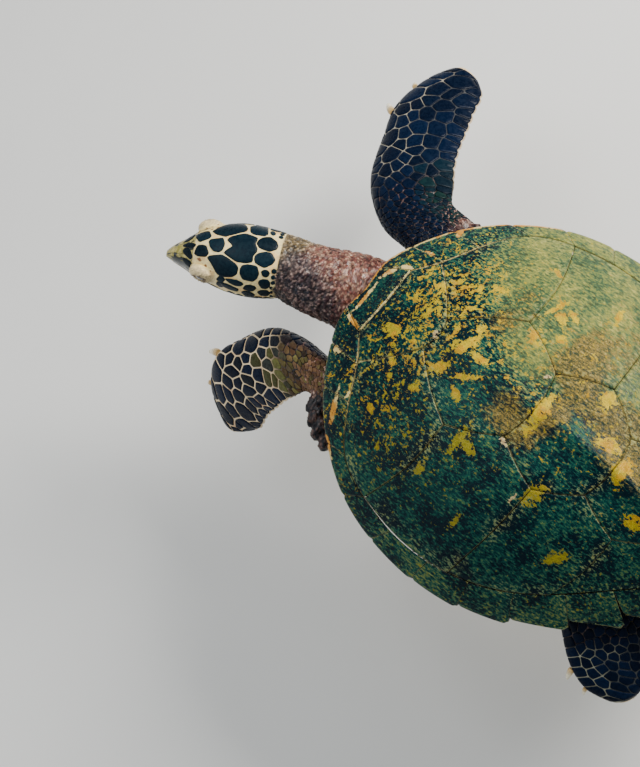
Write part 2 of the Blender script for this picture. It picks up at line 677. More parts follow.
# ---- carapace -------------------------------------------------------------------------------
# amber blotches: place in plan, half length, half width, direction of the length in degrees from +x
GOLD_SPOTS = (
    (0.026, 0.086, 0.017, 0.011, 90), (-0.028, 0.080, 0.012, 0.007, 20),
    (0.120, 0.128, 0.009, 0.006, 70), (0.074, 0.122, 0.010, 0.007, 60),
    (0.057, 0.112, 0.012, 0.004, 60), (0.024, 0.122, 0.008, 0.006, 30),
    (-0.018, 0.112, 0.014, 0.006, 160), (-0.055, 0.096, 0.012, 0.007, 120),
    (0.033, 0.173, 0.021, 0.010, 140), (-0.014, 0.186, 0.023, 0.009, 165),
    (-0.018, 0.160, 0.014, 0.006, 0), (0.068, 0.163, 0.012, 0.008, 150),
    (0.020, 0.213, 0.024, 0.006, 120), (-0.007, 0.213, 0.020, 0.007, 95),
    (0.086, 0.253, 0.026, 0.008, 175), (0.086, 0.268, 0.013, 0.007, 80),
    (-0.072, 0.247, 0.018, 0.013, 60), (-0.091, 0.272, 0.011, 0.009, 30),
    (-0.122, 0.238, 0.024, 0.005, 165), (-0.111, 0.251, 0.012, 0.008, 60),
    (-0.122, 0.264, 0.014, 0.004, 70), (0.004, 0.314, 0.036, 0.010, 0),
    (0.082, 0.367, 0.018, 0.011, 170), (-0.063, 0.367, 0.014, 0.012, 40),
    (-0.020, 0.402, 0.012, 0.018, 0), (-0.005, 0.434, 0.018, 0.011, 10),
    (-0.095, 0.163, 0.017, 0.005, 95), (-0.082, 0.143, 0.010, 0.005, 20),
    (-0.038, 0.184, 0.010, 0.008, 60), (0.141, 0.230, 0.013, 0.008, 10),
    (0.045, 0.215, 0.015, 0.006, 60), (0.030, 0.480, 0.018, 0.009, 120),
    (-0.060, 0.455, 0.020, 0.009, 50), (-0.130, 0.395, 0.020, 0.007, 30),
    (0.120, 0.430, 0.016, 0.007, 140), (-0.160, 0.300, 0.018, 0.005, 20),
    (0.000, 0.540, 0.016, 0.009, 90), (-0.160, 0.200, 0.012, 0.005, 80),
    (0.165, 0.305, 0.014, 0.005, 170),
)
# cream and orange blotches by the rim, laid out the same way
RIM_BLOTCHES = (
    (0.045, 0.026, 0.020, 0.0045, 76), (0.010, 0.015, 0.030, 0.0040, 0),
    (-0.034, 0.019, 0.018, 0.0050, 150), (-0.052, 0.036, 0.014, 0.0045, 110),
    (0.146, 0.077, 0.030, 0.0060, 24), (0.086, 0.030, 0.010, 0.0060, 80),
    (0.188, 0.098, 0.022, 0.0040, 50), (-0.136, 0.052, 0.018, 0.0050, 30),
    (-0.086, 0.046, 0.010, 0.0035, 100), (0.124, 0.086, 0.008, 0.0030, 170),
)
# scraped places, laid out the same way
WORN_SPOTS = (
    (0.000, 0.142, 0.013, 0.006, 15), (0.056, 0.301, 0.012, 0.004, 75),
    (-0.040, 0.293, 0.008, 0.005, 120), (0.100, 0.350, 0.010, 0.003, 170),
)
# soft patches of gold, haze and film: strength, place in plan, half width across and back
GOLD_PATCHES = ((0.34, -0.030, 0.120, 0.090, 0.080), (0.10, 0.080, 0.120, 0.060, 0.060),
                (0.16, -0.040, 0.270, 0.100, 0.120), (0.23, 0.135, 0.180, 0.060, 0.095),
                (0.11, -0.095, 0.125, 0.050, 0.055))
HAZE_PATCHES = ((0.60, -0.030, 0.265, 0.050, 0.055), (0.30, 0.065, 0.315, 0.030, 0.035))
FILM_PATCHES = ((1.0, -0.070, 0.325, 0.100, 0.045), (0.7, -0.080, 0.205, 0.045, 0.030),
                (0.7, 0.040, 0.275, 0.035, 0.045))


def patches(x, y, table):
    """Sum of the soft patches in the table at each place."""
    return sum(strength * np.exp(-((x - across) / wide) ** 2 - ((y - back) / long) ** 2)
               for strength, across, back, wide, long in table)


def spots(x, y, table, sharpness):
    """Greatest of the soft ellipses in the table at each place, 1 in their middles."""
    share = np.zeros_like(x)
    for across, back, long, wide, turn in table:
        c, s = cos(radians(turn)), sin(radians(turn))
        along = ((x - across) * c + (y - back) * s) / long
        aside = ((y - back) * c - (x - across) * s) / wide
        share = np.maximum(share, np.exp(-(along ** 2 + aside ** 2) ** sharpness))
    return share


def shell_fields(plan):
    """How gold, hazy, film-covered and worn the shell is at places in plan, and how pale its seams."""
    x, y = plan[:, 0], plan[:, 1]
    gold = np.maximum(patches(x, y, GOLD_PATCHES), 0.80 * spots(x, y, GOLD_SPOTS, 1.2))
    gold -= 0.10 * smooth_step(0.12, 0.2, np.abs(x))
    right = smooth_step(0.0, -0.17, x)
    haze = right * smooth_step(0.04, 0.20, y) + 0.30 * right + 0.35 * smooth_step(0.17, 0.24, x)
    haze += 0.35 * smooth_step(0.005, -0.05, x) * smooth_step(0.14, 0.24, y)
    haze += 0.30 * smooth_step(0.36, 0.46, y) * smooth_step(0.03, 0.12, x)
    haze += patches(x, y, HAZE_PATCHES)
    keel = np.exp(-((x + 0.030) / 0.050) ** 2) * smooth_step(0.050, -0.040, x)
    keel *= smooth_step(0.26, 0.34, y)
    film = np.maximum(1.035 * keel, patches(x, y, FILM_PATCHES))
    fringe = drift(np.column_stack([plan, plan[:, 0] * 0]), 0.030, 71)
    algae = np.clip(film * (1 + 0.55 * fringe) + 0.15 * right, 0, 1)
    worn = spots(x, y, WORN_SPOTS, 1.0)
    bearing, distance = about_centre(x, y)
    out, border = distance / radius(RIM_POLAR, bearing), distance / radius(BORDER_POLAR, bearing)
    front = np.maximum(0.35, smooth_step(0.20, 0.10, y))
    rim = smooth_step(0.978, 0.994, out) * front * smooth_step(0.10, -0.05, x + (y > 0.3) * 0.2)
    rim = np.maximum(rim, 0.9 * spots(x, y, RIM_BLOTCHES, 1.3))
    pale = np.clip(0.22 + 0.75 * smooth_step(0.13, 0.07, y) + 0.06 * smooth_step(0.95, 0.99, border)
                   * smooth_step(0.36, 0.28, y), 0, 1)
    dull = 0.85 * smooth_step(0.0, 0.09, x) * smooth_step(0.08, 0.22, y)
    return {"gold": gold, "haze": np.clip(haze, 0, 1.2), "algae": algae, "worn": worn, "rim": rim,
            "seam": pale, "dull": dull}


def seam(points, count):
    """Evenly spaced points on a smooth seam through a few plan points."""
    knots = chord_knots(points)
    return spline(knots, points, np.linspace(0, knots[-1], count))


def mirrored(points):
    """The same points on the turtle's right, in reverse order."""
    return np.asarray(points)[::-1] * (-1, 1)


def join_edges(*edges):
    """One closed outline from edges that follow each other, without doubled corners."""
    return np.vstack([np.asarray(edge)[:-1] for edge in edges])


def cross_seam(row, count=25):
    """Seam at the rear of a vertebral (row 0 is the nuchal's), from the left to the right."""
    half, back = CORNERS["nuchal_rear" if row == 0 else f"rear_{row}"]
    middle = (0.0, back + REAR_BULGE[row])
    return seam(((half, back), (half * 0.5, back + REAR_BULGE[row] * 0.7), middle,
                 (-half * 0.5, back + REAR_BULGE[row] * 0.7), (-half, back)), count)


def side_seam(first, second, count=21):
    """Seam between a vertebral and a costal, bowed a little."""
    start, end = np.array(CORNERS[first]), np.array(CORNERS[second])
    bow = 0.04 * np.array([end[1] - start[1], start[0] - end[0]])
    return seam((start, (start + end) / 2 + bow, end), count)


def costal_seam(index, count=31):
    """Seam between two costals on the left, from the vertebral's apex out to the marginals."""
    start = np.array(CORNERS[f"apex_{index + 1}"])
    end = spline(BORDER_KNOTS, INNER_BORDER, border_place(COSTAL_ENDS[index - 1]))
    sag = np.array([0.0, 0.012 if index == 1 else 0.006])
    return seam((start, start * 0.55 + end * 0.45 + sag, end), count)


def border_between(start, end, count=41):
    """Points along the marginals' inner border between two of its numbered corners."""
    return border_points(border_place(start), border_place(end), count)


def vertebral_outline(number):
    """Six-sided, from the seam in front round to the one behind; the last runs out to the rim."""
    left = [side_seam(f"rear_{number - 1}", f"apex_{number}") if number > 1 else border_between(0, 1, 12),
            side_seam(f"apex_{number}", f"rear_{number}") if number < 5 else border_between(11, 12, 15)]
    rear = [cross_seam(number)] if number < 5 else []
    right = [mirrored(edge) for edge in left[::-1]]
    return join_edges(*left, *rear, *right, cross_seam(number - 1)[::-1])


def costal_outline(number):
    """Along the marginals, in along the seam behind, and back past the vertebrals."""
    ends = (1.0,) + COSTAL_ENDS + (11.0,)
    edges = [border_between(ends[number - 1], ends[number])]
    if number < 4:
        edges.append(costal_seam(number)[::-1])
        edges.append(side_seam(f"rear_{number}", f"apex_{number + 1}")[::-1])
    else:
        edges.append(side_seam("rear_4", "apex_5")[::-1])
    edges.append(side_seam(f"apex_{number}", f"rear_{number}")[::-1])
    if number > 1:
        edges.append(costal_seam(number - 1))
    return join_edges(*edges)


SEAM_GAP = 0.0003
SCUTE_EDGE = 0.0011         # how far a scute's rim is rounded down


def build_scute(number, name, outline, centre, count=150, rings=44):
    """A scute: domed top that laps over the next one, rounded rim, flat underside."""
    centre = np.asarray(centre, float)
    outline = turned(shrunk(resample_loop(outline, count), SEAM_GAP))
    front, rear = outline[:, 1].min(), outline[:, 1].max()
    plan, share = plate_layers(outline, centre, np.linspace(1, 0, rings + 1)[:-1] ** 0.85)
    plan = np.vstack([outline, plan])
    share = np.append(np.ones(count), share)
    lift = LAP * np.clip((plan[:, 1] - front) / (rear - front), 0, 1) ** 2
    lift -= SCUTE_EDGE * smooth_step(0.955, 1.0, share) ** 2
    uneven = drift(np.column_stack([plan, share * 0.02]), 0.022, number)
    lift += 0.0004 * uneven * smooth_step(1, 0.9, share)
    lift[:count] = -SCUTE
    away = unit(plan - centre, 1e-9)
    ray = np.column_stack([away * 2.6, share * 1.1 + number * 3.7])
    batch = Batch()
    batch.add(on_shell(plan, lift), web(count, rings + 1), ray=ray, grow=share, **shell_fields(plan))
    under = np.vstack([outline, [centre]])
    batch.add(on_shell(under, np.full(count + 1, -SCUTE)), [fan(count, count, flip=True)],
              ray=np.zeros((1, 3)), grow=0.9, **shell_fields(under))
    batch.build("scute_" + name, HORN, (name,))


def build_scutes():
    """The nuchal, five vertebrals and four pairs of costals."""
    rim_front = np.column_stack([np.linspace(-0.034, 0.034, 25), np.zeros(25)])
    rim_front[:, 1] = np.interp(np.abs(rim_front[:, 0]), RIM[:60, 0], RIM[:60, 1]) + 0.0005
    side = np.linspace(rim_front[-1], CORNERS["nuchal_rear"], 20)
    nuchal = join_edges(rim_front, side, cross_seam(0), mirrored(side))
    scutes = [("nuchal", nuchal, (0.0, 0.026), 110, 22)]
    for number in range(1, 6):
        outline = vertebral_outline(number)
        centre = (0.0, outline[:, 1].min() * 0.42 + outline[:, 1].max() * 0.58)
        scutes.append((f"vertebral_{number}", outline, centre))
    for number in range(1, 5):
        outline = costal_outline(number)
        centre = outline.mean(axis=0) + (-0.010, 0.010)
        scutes.append((f"costal_left_{number}", outline, centre))
        scutes.append((f"costal_right_{number}", mirrored(outline), centre * (-1, 1)))
    for number, scute in enumerate(scutes, 1):
        build_scute(number, *scute)


def rim_points(places, stand_out):
    """Points on the left rim, 0 at the nuchal's corner and 1 at the tail, moved out by stand_out."""
    knots = chord_knots(RIM)
    start = float(np.interp(CORNERS["nuchal_front"][0], RIM[:60, 0], knots[:60]))
    at = start + (knots[-1] - start) * places

    def read(where):
        return np.stack([np.interp(where, knots, RIM[:, k]) for k in (0, 1)], -1)

    along = unit(read(np.minimum(at + 0.004, knots[-1])) - read(at - 0.004))
    return read(at) + np.column_stack([along[:, 1], -along[:, 0]]) * stand_out[:, None]


MARGINAL_COLUMNS = 34       # points along a marginal
TOP_POINTS = 22             # and across it: on its top, and round the rim and back underneath
UNDER_POINTS = 12
AROUND_MARGINAL = TOP_POINTS + UNDER_POINTS


def marginal_section(inner, outer, bearing):
    """Cross-section of a marginal from its inner top edge round the rim to its inner underside."""
    shares = np.concatenate((np.linspace(0, 1, TOP_POINTS) ** 0.9,
                             np.linspace(1, 0, UNDER_POINTS) ** 1.2))
    plan = inner + (outer - inner) * shares[:, None]
    rim_z = float(rim_height(bearing))
    top = dome(plan[:, 0], plan[:, 1]) + 0.0010 * np.sin(pi * shares)
    thick = MARGINAL_RIM + (MARGINAL_ROOT - MARGINAL_RIM) * (1 - shares)
    under = rim_z - thick + 0.002 * np.sin(pi * shares)
    height = np.where(np.arange(len(shares)) < TOP_POINTS, top, under)
    height[TOP_POINTS - 2:TOP_POINTS + 1] += (-0.0004, -0.0022, 0.0018)
    return np.column_stack([plan, height]), shares


def build_marginals(side_name, side):
    """One side's twelve marginals, each its own plate, with teeth towards the tail."""
    shares = np.array(MARGINAL_SHARES) / sum(MARGINAL_SHARES)
    bounds = np.concatenate(([0.0], np.cumsum(shares)))
    for number, tooth in enumerate(MARGINAL_TEETH):
        f = 0.5 - 0.5 * np.cos(np.linspace(0, pi, MARGINAL_COLUMNS))
        places = bounds[number] + (bounds[number + 1] - bounds[number]) * f
        before = MARGINAL_TEETH[number - 1] if number else 0
        stand_out = tooth * f ** 1.5 - 0.3 * before * (1 - f) ** 8
        stand_out -= (0.0016 + 0.25 * tooth) * smooth_step(0.90, 1.0, f)
        stand_out -= 0.0016 * smooth_step(0.06, 0.0, f)
        outer = rim_points(places, stand_out)
        inner = spline(BORDER_KNOTS, INNER_BORDER, BORDER_KNOTS[-1] * places)
        along = unit(np.gradient((outer + inner) / 2, axis=0))
        shift = SEAM_GAP * (1 - 2 * f)[:, None] * along
        inner, outer = inner + shift, outer + shift
        inner = inner + unit(outer - inner) * SEAM_GAP
        if number == len(MARGINAL_TEETH) - 1:
            outer[-1, 0] = inner[-1, 0] = SEAM_GAP
        rows, grow = [], []
        for k in range(MARGINAL_COLUMNS):
            section, share = marginal_section(inner[k], outer[k], about_centre(*outer[k])[0])
            edge = np.maximum(1 - f[k] * (1 - f[k]) * 40, 0)
            drop = smooth_step(0.0, 1.0, edge) + smooth_step(0.06, 0, share[:TOP_POINTS])
            section[:TOP_POINTS, 2] -= SCUTE_EDGE * drop * 0.8
            section[:TOP_POINTS, 2] += LAP * 0.5 * f[k] ** 2
            rows.append(section)
            ends = 1 - np.minimum(f[k], 1 - f[k]) * 2
            grow.append(np.maximum(ends, np.where(share < 0.5, 1 - share * 2, share * 2 - 1)))
        points = np.array(rows)
        grow = np.array(grow).ravel()
        plan = points.reshape(-1, 3)[:, :2] * (side, 1)
        fields = shell_fields(plan)
        under = np.tile(np.arange(AROUND_MARGINAL) >= TOP_POINTS + 2, MARGINAL_COLUMNS)
        fields["haze"] = np.where(under, 0.0, fields["haze"])
        fields["gold"] = np.where(under, 1.1, fields["gold"] + 0.10)
        ray = np.column_stack([plan * 22.0, np.full(len(plan), number * 2.3 + side)])
        batch = Batch()
        around = AROUND_MARGINAL
        faces = grid_faces(MARGINAL_COLUMNS, around, wrap=True, flip=side > 0)
        batch.add(points * (side, 1, 1), [faces], ray=ray, grow=grow, **fields)
        for k, flip in ((0, side < 0), (-1, side > 0)):
            ring = points[k] * (side, 1, 1)
            batch.add(np.vstack([ring, ring.mean(axis=0)]), [fan(around, around, flip=flip)],
                      ray=np.zeros((1, 3)), grow=0.9, **dict.fromkeys(fields, 0.0))
        nodes = ("marginals_" + side_name,) if number == 0 else ()
        batch.build(f"marginal_{side_name}_{number + 1}", HORN, nodes)


# ---- plates on any surface ------------------------------------------------------------------
PLATE_SHARES = np.array([1.0, 1.0, 0.93, 0.74, 0.40])
PLATE_LIFTS = np.array([-1.3, 0.30, 0.82, 1.0, 1.04, 1.06])


def add_plate(batch, outline, height, surface, tint, uv_scale):
    """One domed scale: rings from a skirt sunk in the skin up to its middle."""
    outline = turned(outline)
    centre = outline.mean(axis=0)
    count = len(outline)
    plan, _ = plate_layers(outline, centre, PLATE_SHARES)
    uv = plan * uv_scale[0] + uv_scale[1]
    points = surface(plan, plate_lifts(PLATE_LIFTS, count, height))
    outward = points[-1] - surface(plan[-1:], 0.0)[0]
    rim = points[:count] - points[-1]
    faces = web(count, len(PLATE_SHARES))
    if np.cross(rim, np.roll(rim, -1, axis=0)).sum(axis=0) @ outward < 0:
        faces = [group[:, ::-1] for group in faces]
    batch.add(points, faces, uv=uv, tint=tint[None])


def clip_half(polygon, middle, direction):
    """The part of a polygon behind the line through middle across direction."""
    side = (polygon - middle) @ direction
    if side.max() <= 0:
        return polygon
    kept = []
    for i, (point, here) in enumerate(zip(polygon, side)):
        after, there = polygon[(i + 1) % len(polygon)], side[(i + 1) % len(polygon)]
        if here <= 0:
            kept.append(point)
        if here * there < 0:
            kept.append(point + (after - point) * here / (here - there))
    return np.array(kept) if len(kept) > 2 else polygon[:0]


def cells_of(seeds, sizes, fence):
    """Cells of the seeds, larger ones taking more room, each pressed inside the fence."""
    cells = []
    for seed, size in zip(seeds, sizes):
        gaps = np.linalg.norm(seeds - seed, axis=1)
        reach = size * 1.6
        polygon = seed + reach * np.array([(-1, -1), (1, -1), (1, 1), (-1, 1)])
        for other in np.argsort(gaps)[1:26]:
            if len(polygon):
                share = 0.5 + (size ** 2 - sizes[other] ** 2) / 4 / (2 * gaps[other] ** 2)
                along = seeds[other] - seed
                polygon = clip_half(polygon, seed + along * share, along / gaps[other])
        if len(polygon):
            polygon = fence(resample_loop(polygon, 32), np.sign(seed[1]))
        cells.append(polygon)
    return cells


# least distance between seeds, as a share of their two sizes: round pinned seeds and elsewhere
PINNED_ROOM = 0.60
SEED_ROOM = 0.43


def scattered(size_at, draw, rng, pinned, pinned_sizes, tries):
    """Seeds no nearer to each other than their sizes allow: pinned ones first, then random draws."""
    kept, sizes = np.array(pinned).reshape(-1, 2), np.array(pinned_sizes, float)
    share = np.full(len(kept), PINNED_ROOM)
    candidates = draw(rng, tries)
    for point, size in zip(candidates, size_at(candidates)):
        room = np.linalg.norm(kept - point, axis=1) - share * (sizes + size)
        if room.min() > 0:
            kept, sizes = np.vstack([kept, point]), np.append(sizes, size)
            share = np.append(share, SEED_ROOM)
    return kept, sizes


# ---- flippers -------------------------------------------------------------------------------
RIGHT_FRONT = {
    "lead": ((-0.060, 0.060, -0.012), (-0.084, -0.006, -0.014), (-0.090, -0.058, -0.024),
             (-0.118, -0.110, -0.040), (-0.156, -0.145, -0.056), (-0.204, -0.170, -0.072),
             (-0.244, -0.190, -0.086), (-0.284, -0.194, -0.098), (-0.320, -0.188, -0.108),
             (-0.350, -0.172, -0.116)),
    "trail": ((-0.150, 0.100, -0.022), (-0.166, 0.040, -0.016), (-0.170, -0.002, -0.018),
              (-0.190, -0.022, -0.028), (-0.222, -0.048, -0.044), (-0.256, -0.068, -0.060),
              (-0.286, -0.082, -0.074), (-0.314, -0.096, -0.088), (-0.338, -0.108, -0.100),
              (-0.356, -0.138, -0.112)),
}
LEFT_FRONT = {
    "lead": ((0.060, 0.060, -0.012), (0.092, 0.020, -0.014), (0.094, -0.028, -0.024),
             (0.099, -0.074, -0.040), (0.115, -0.111, -0.060), (0.150, -0.142, -0.088),
             (0.184, -0.164, -0.115), (0.214, -0.158, -0.142), (0.233, -0.142, -0.168),
             (0.247, -0.118, -0.195)),
    "trail": ((0.150, 0.100, -0.022), (0.152, 0.050, -0.016), (0.147, 0.010, -0.022),
              (0.160, -0.006, -0.034), (0.172, -0.018, -0.052), (0.188, -0.032, -0.080),
              (0.200, -0.044, -0.108), (0.212, -0.054, -0.140), (0.224, -0.064, -0.172),
              (0.238, -0.088, -0.198)),
}
LEFT_HIND = {
    "lead": ((0.104, 0.400, -0.046), (0.160, 0.452, -0.036), (0.188, 0.482, -0.040),
             (0.202, 0.500, -0.048), (0.213, 0.524, -0.058), (0.214, 0.550, -0.070),
             (0.206, 0.572, -0.080)),
    "trail": ((0.050, 0.460, -0.046), (0.086, 0.508, -0.040), (0.106, 0.540, -0.044),
              (0.122, 0.562, -0.052), (0.140, 0.578, -0.062), (0.162, 0.588, -0.072),
              (0.186, 0.588, -0.080)),
}
RIGHT_HIND = {edge: tuple((-x, y, z) for x, y, z in points) for edge, points in LEFT_HIND.items()}
FRONT_THICKNESS = (0.052, 0.046, 0.038, 0.030, 0.024, 0.019, 0.015, 0.012, 0.009, 0.006)
HIND_THICKNESS = (0.044, 0.036, 0.029, 0.022, 0.015, 0.010, 0.007)
FRONT_CAMBER = 0.010
HIND_CAMBER = 0.006
FRONT_CLAWS = ((0.662, 0.020, 0.0046), (0.805, 0.011, 0.0036))
HIND_CLAWS = ((0.58, 0.012, 0.0036), (0.75, 0.008, 0.0030))
CLAW_SPREAD = 0.55
CLAW_CURL = 0.15
CLAW_STOUT = 1.25
CLAW_LONG = 1.40
CLAW_FLATNESS = 0.75        # thickness of a claw against its width
CLAW_STATIONS = np.linspace(-0.12, 0.985, 16)   # shares of its length; it starts in the skin
CLAW_AROUND = 20
FLIPPER_EDGE = 0.0008
CLAW_ROOT = np.array([0.58, 0.40, 0.17])
CLAW_TIP = np.array([0.90, 0.84, 0.66])
# spacing of the large scales along the leading and the trailing edge, and where the latter start
LEAD_SPACING = {"front": 0.0180, "hind": 0.0135}
TRAIL_SPACING = {"front": 0.0200, "hind": 0.0130}
TRAIL_START = {"front": 0.46, "hind": 0.50}
SCALLOP = {"front": 0.0024, "hind": 0.0014}


class Wrap:
    """A flipper's skin unrolled: x runs along it, y round it from the leading edge, top positive."""

    def __init__(self, kind, shape, thickness, camber, rows=180, half=60):
        self.kind = kind
        places = np.linspace(0, 1, len(shape["lead"]))
        self.share = np.linspace(0, 1, rows)
        lead, trail = (spline(places, shape[edge], self.share) for edge in ("lead", "trail"))
        tip = np.clip((self.share - 0.95) / 0.05, 0, 1)
        thick = spline(places, thickness, self.share) * np.sqrt(1 - 0.88 * tip ** 2) - 2 * SKIN_DEPTH
        along = np.gradient((lead + trail) / 2, axis=0)
        chord = trail - lead
        up = unit(np.cross(along, chord))
        up *= np.sign(up[:, 2:])
        turn = np.linspace(-1, 1, 2 * half + 1) * pi
        across = 0.5 - 0.5 * np.cos(turn)
        rise = np.sin(turn) * (1.25 - 0.75 * across) * thick[:, None] / 2
        rise = rise + camber * (0.5 - (2 * across - 1) ** 2)
        flat = unit(chord)
        raw = lead[:, None] + chord[:, None] * across[:, None] + up[:, None] * rise[..., None]
        raw = raw - flat[:, None] * (np.cos(turn) * (FLIPPER_EDGE - SKIN_DEPTH / 2))[:, None]
        self.grid = np.empty_like(raw)
        reach = np.empty((rows, 2))
        for k in range(rows):
            upper, lower = raw[k, half:], raw[k, half::-1]
            reach[k] = chord_knots(lower)[-1], chord_knots(upper)[-1]
            self.grid[k, half:] = resample(upper, half + 1)
            self.grid[k, half::-1] = resample(lower, half + 1)
        self.half = half
        self.reach = reach.mean(axis=1)
        self.run = chord_knots((lead + trail) / 2)
        self.length = self.run[-1]
        side = np.abs(np.linspace(-1, 1, 2 * half + 1))[None]
        notch = SCALLOP[kind] * self.notch(self.run)[:, None] * smooth_step(0.80, 1.0, side)
        self.grid -= flat[:, None] * notch[..., None]
        normal = unit(np.cross(np.gradient(self.grid, axis=0), np.gradient(self.grid, axis=1)), 1e-12)
        outward = np.sign(np.sum(normal[:, half + half // 2] * up, axis=-1))
        self.normal = normal * outward[:, None, None]

    def reach_at(self, x):
        """Half the way round the skin at x, from the leading to the trailing edge."""
        return np.interp(x, self.run, self.reach)

    def notch(self, x):
        """1 between two scales of the trailing edge, 0 on the scales."""
        spacing = TRAIL_SPACING[self.kind]
        phase = (x - TRAIL_START[self.kind] * self.length) / spacing
        away = np.abs(phase - np.round(phase)) * spacing
        inside = smooth_step(-0.6, 0.4, phase) * smooth_step(0.97, 0.94, x / self.length)
        return np.exp(-(away / 0.0030) ** 2) * inside

    def at(self, plan, lift):
        """Points at places (x, y) on the skin, raised by lift."""
        row = np.interp(plan[:, 0], self.run, np.arange(len(self.run)))
        side = np.clip(plan[:, 1] / self.reach_at(plan[:, 0]), -1, 1)
        column = (side + 1) * self.half
        i = np.minimum(row.astype(int), len(self.run) - 2)
        j = np.minimum(column.astype(int), 2 * self.half - 1)
        u, v = (row - i)[:, None], (column - j)[:, None]
        out = []
        for grid in (self.grid, self.normal):
            out.append(grid[i, j] * (1 - u) * (1 - v) + grid[i + 1, j] * u * (1 - v)
                       + grid[i, j + 1] * (1 - u) * v + grid[i + 1, j + 1] * u * v)
        return out[0] + out[1] * np.reshape(lift, (-1, 1))


WRAPS = {
    "front_right": Wrap("front", RIGHT_FRONT, FRONT_THICKNESS, FRONT_CAMBER, 230, 70),
    "front_left": Wrap("front", LEFT_FRONT, FRONT_THICKNESS, FRONT_CAMBER, 230, 70),
    "hind_left": Wrap("hind", LEFT_HIND, HIND_THICKNESS, HIND_CAMBER, 120, 44),
    "hind_right": Wrap("hind", RIGHT_HIND, HIND_THICKNESS, HIND_CAMBER, 120, 44),
}
# along the flipper as a share of its length: the size of the middle scales there
FRONT_SIZES = (
    (0.0, 0.0048), (0.20, 0.0052), (0.32, 0.0078), (0.42, 0.0100), (0.54, 0.0122), (0.80, 0.0140),
    (0.90, 0.0175), (1.0, 0.0190),
)
HIND_SIZES = ((0.0, 0.0055), (0.30, 0.0070), (0.50, 0.0100), (0.75, 0.0120), (1.0, 0.0135))
FIRST_SCALE = {"front": 0.135, "hind": 0.26}
BARE_RIM = 0.0042           # width of the cream rim that bears no scales
# as a share of the flipper's length: where that rim starts on the leading edge
BARE_FROM = {"front_right": 0.87, "front_left": 0.70, "hind_left": 0.90, "hind_right": 0.90}
# large scales on the upper side: place along, place across from the leading edge, size in mm
UPPER_SCALES = {
    "front_right": (
        (0.82, 0.15, 27), (0.86, 0.41, 25), (0.93, 0.60, 31), (0.965, 0.86, 14), (0.915, 0.89, 17),
        (0.86, 0.82, 30), (0.86, 0.63, 19), (0.80, 0.90, 14), (0.745, 0.20, 14), (0.695, 0.24, 13),
        (0.69, 0.06, 19), (0.62, 0.17, 20), (0.545, 0.26, 22), (0.475, 0.24, 15), (0.435, 0.16, 12),
        (0.40, 0.11, 11), (0.36, 0.10, 10), (0.79, 0.62, 19), (0.735, 0.49, 19), (0.745, 0.69, 18),
        (0.70, 0.87, 24), (0.67, 0.46, 19), (0.68, 0.68, 21), (0.60, 0.48, 17), (0.61, 0.67, 17),
        (0.61, 0.88, 26), (0.56, 0.53, 13), (0.545, 0.70, 17), (0.52, 0.45, 10), (0.51, 0.57, 11),
        (0.46, 0.49, 12), (0.475, 0.63, 13), (0.51, 0.88, 24), (0.43, 0.88, 20), (0.41, 0.32, 14),
        (0.435, 0.40, 11), (0.40, 0.52, 14), (0.41, 0.70, 16), (0.36, 0.52, 12), (0.56, 0.90, 17),
        (0.655, 0.91, 17), (0.47, 0.91, 15), (0.755, 0.89, 17), (0.385, 0.90, 15), (0.35, 0.86, 13)),
    "front_left": (
        (0.75, 0.15, 23), (0.69, 0.13, 13), (0.65, 0.05, 12), (0.62, 0.31, 13), (0.59, 0.13, 20),
        (0.53, 0.19, 23), (0.485, 0.08, 12), (0.455, 0.08, 10), (0.41, 0.08, 10), (0.38, 0.06, 9),
        (0.405, 0.27, 13), (0.36, 0.22, 12), (0.475, 0.37, 12), (0.435, 0.42, 10), (0.455, 0.26, 11),
        (0.33, 0.10, 9), (0.32, 0.30, 10), (0.67, 0.35, 17), (0.53, 0.41, 14), (0.46, 0.53, 13),
        (0.55, 0.58, 17), (0.50, 0.67, 14), (0.47, 0.74, 12), (0.62, 0.56, 17), (0.72, 0.40, 15),
        (0.66, 0.64, 18), (0.81, 0.30, 20), (0.91, 0.36, 29), (0.815, 0.73, 29), (0.94, 0.66, 14),
        (0.655, 0.82, 16), (0.745, 0.95, 16), (0.70, 0.80, 14), (0.57, 0.87, 22), (0.41, 0.56, 14),
        (0.41, 0.70, 14), (0.44, 0.84, 15), (0.74, 0.58, 16), (0.50, 0.91, 15), (0.62, 0.93, 13),
        (0.82, 0.94, 13), (0.87, 0.92, 13), (0.84, 0.12, 17), (0.92, 0.14, 14)),
}
SEAM_WIDTH = {"front_right": 0.0011, "front_left": 0.0022, "hind_left": 0.0012, "hind_right": 0.0012}
SCALE_DARK = np.array([0.0004, 0.0038, 0.0150])
SCALE_TEAL = np.array([0.0040, 0.0170, 0.0150])
SCALE_GREEN = np.array([0.090, 0.085, 0.025])
SCALE_BROWN = np.array([0.115, 0.060, 0.032])
SCALE_RUSSET = np.array([0.110, 0.042, 0.034])
SCALE_PALE = np.array([0.52, 0.41, 0.21])


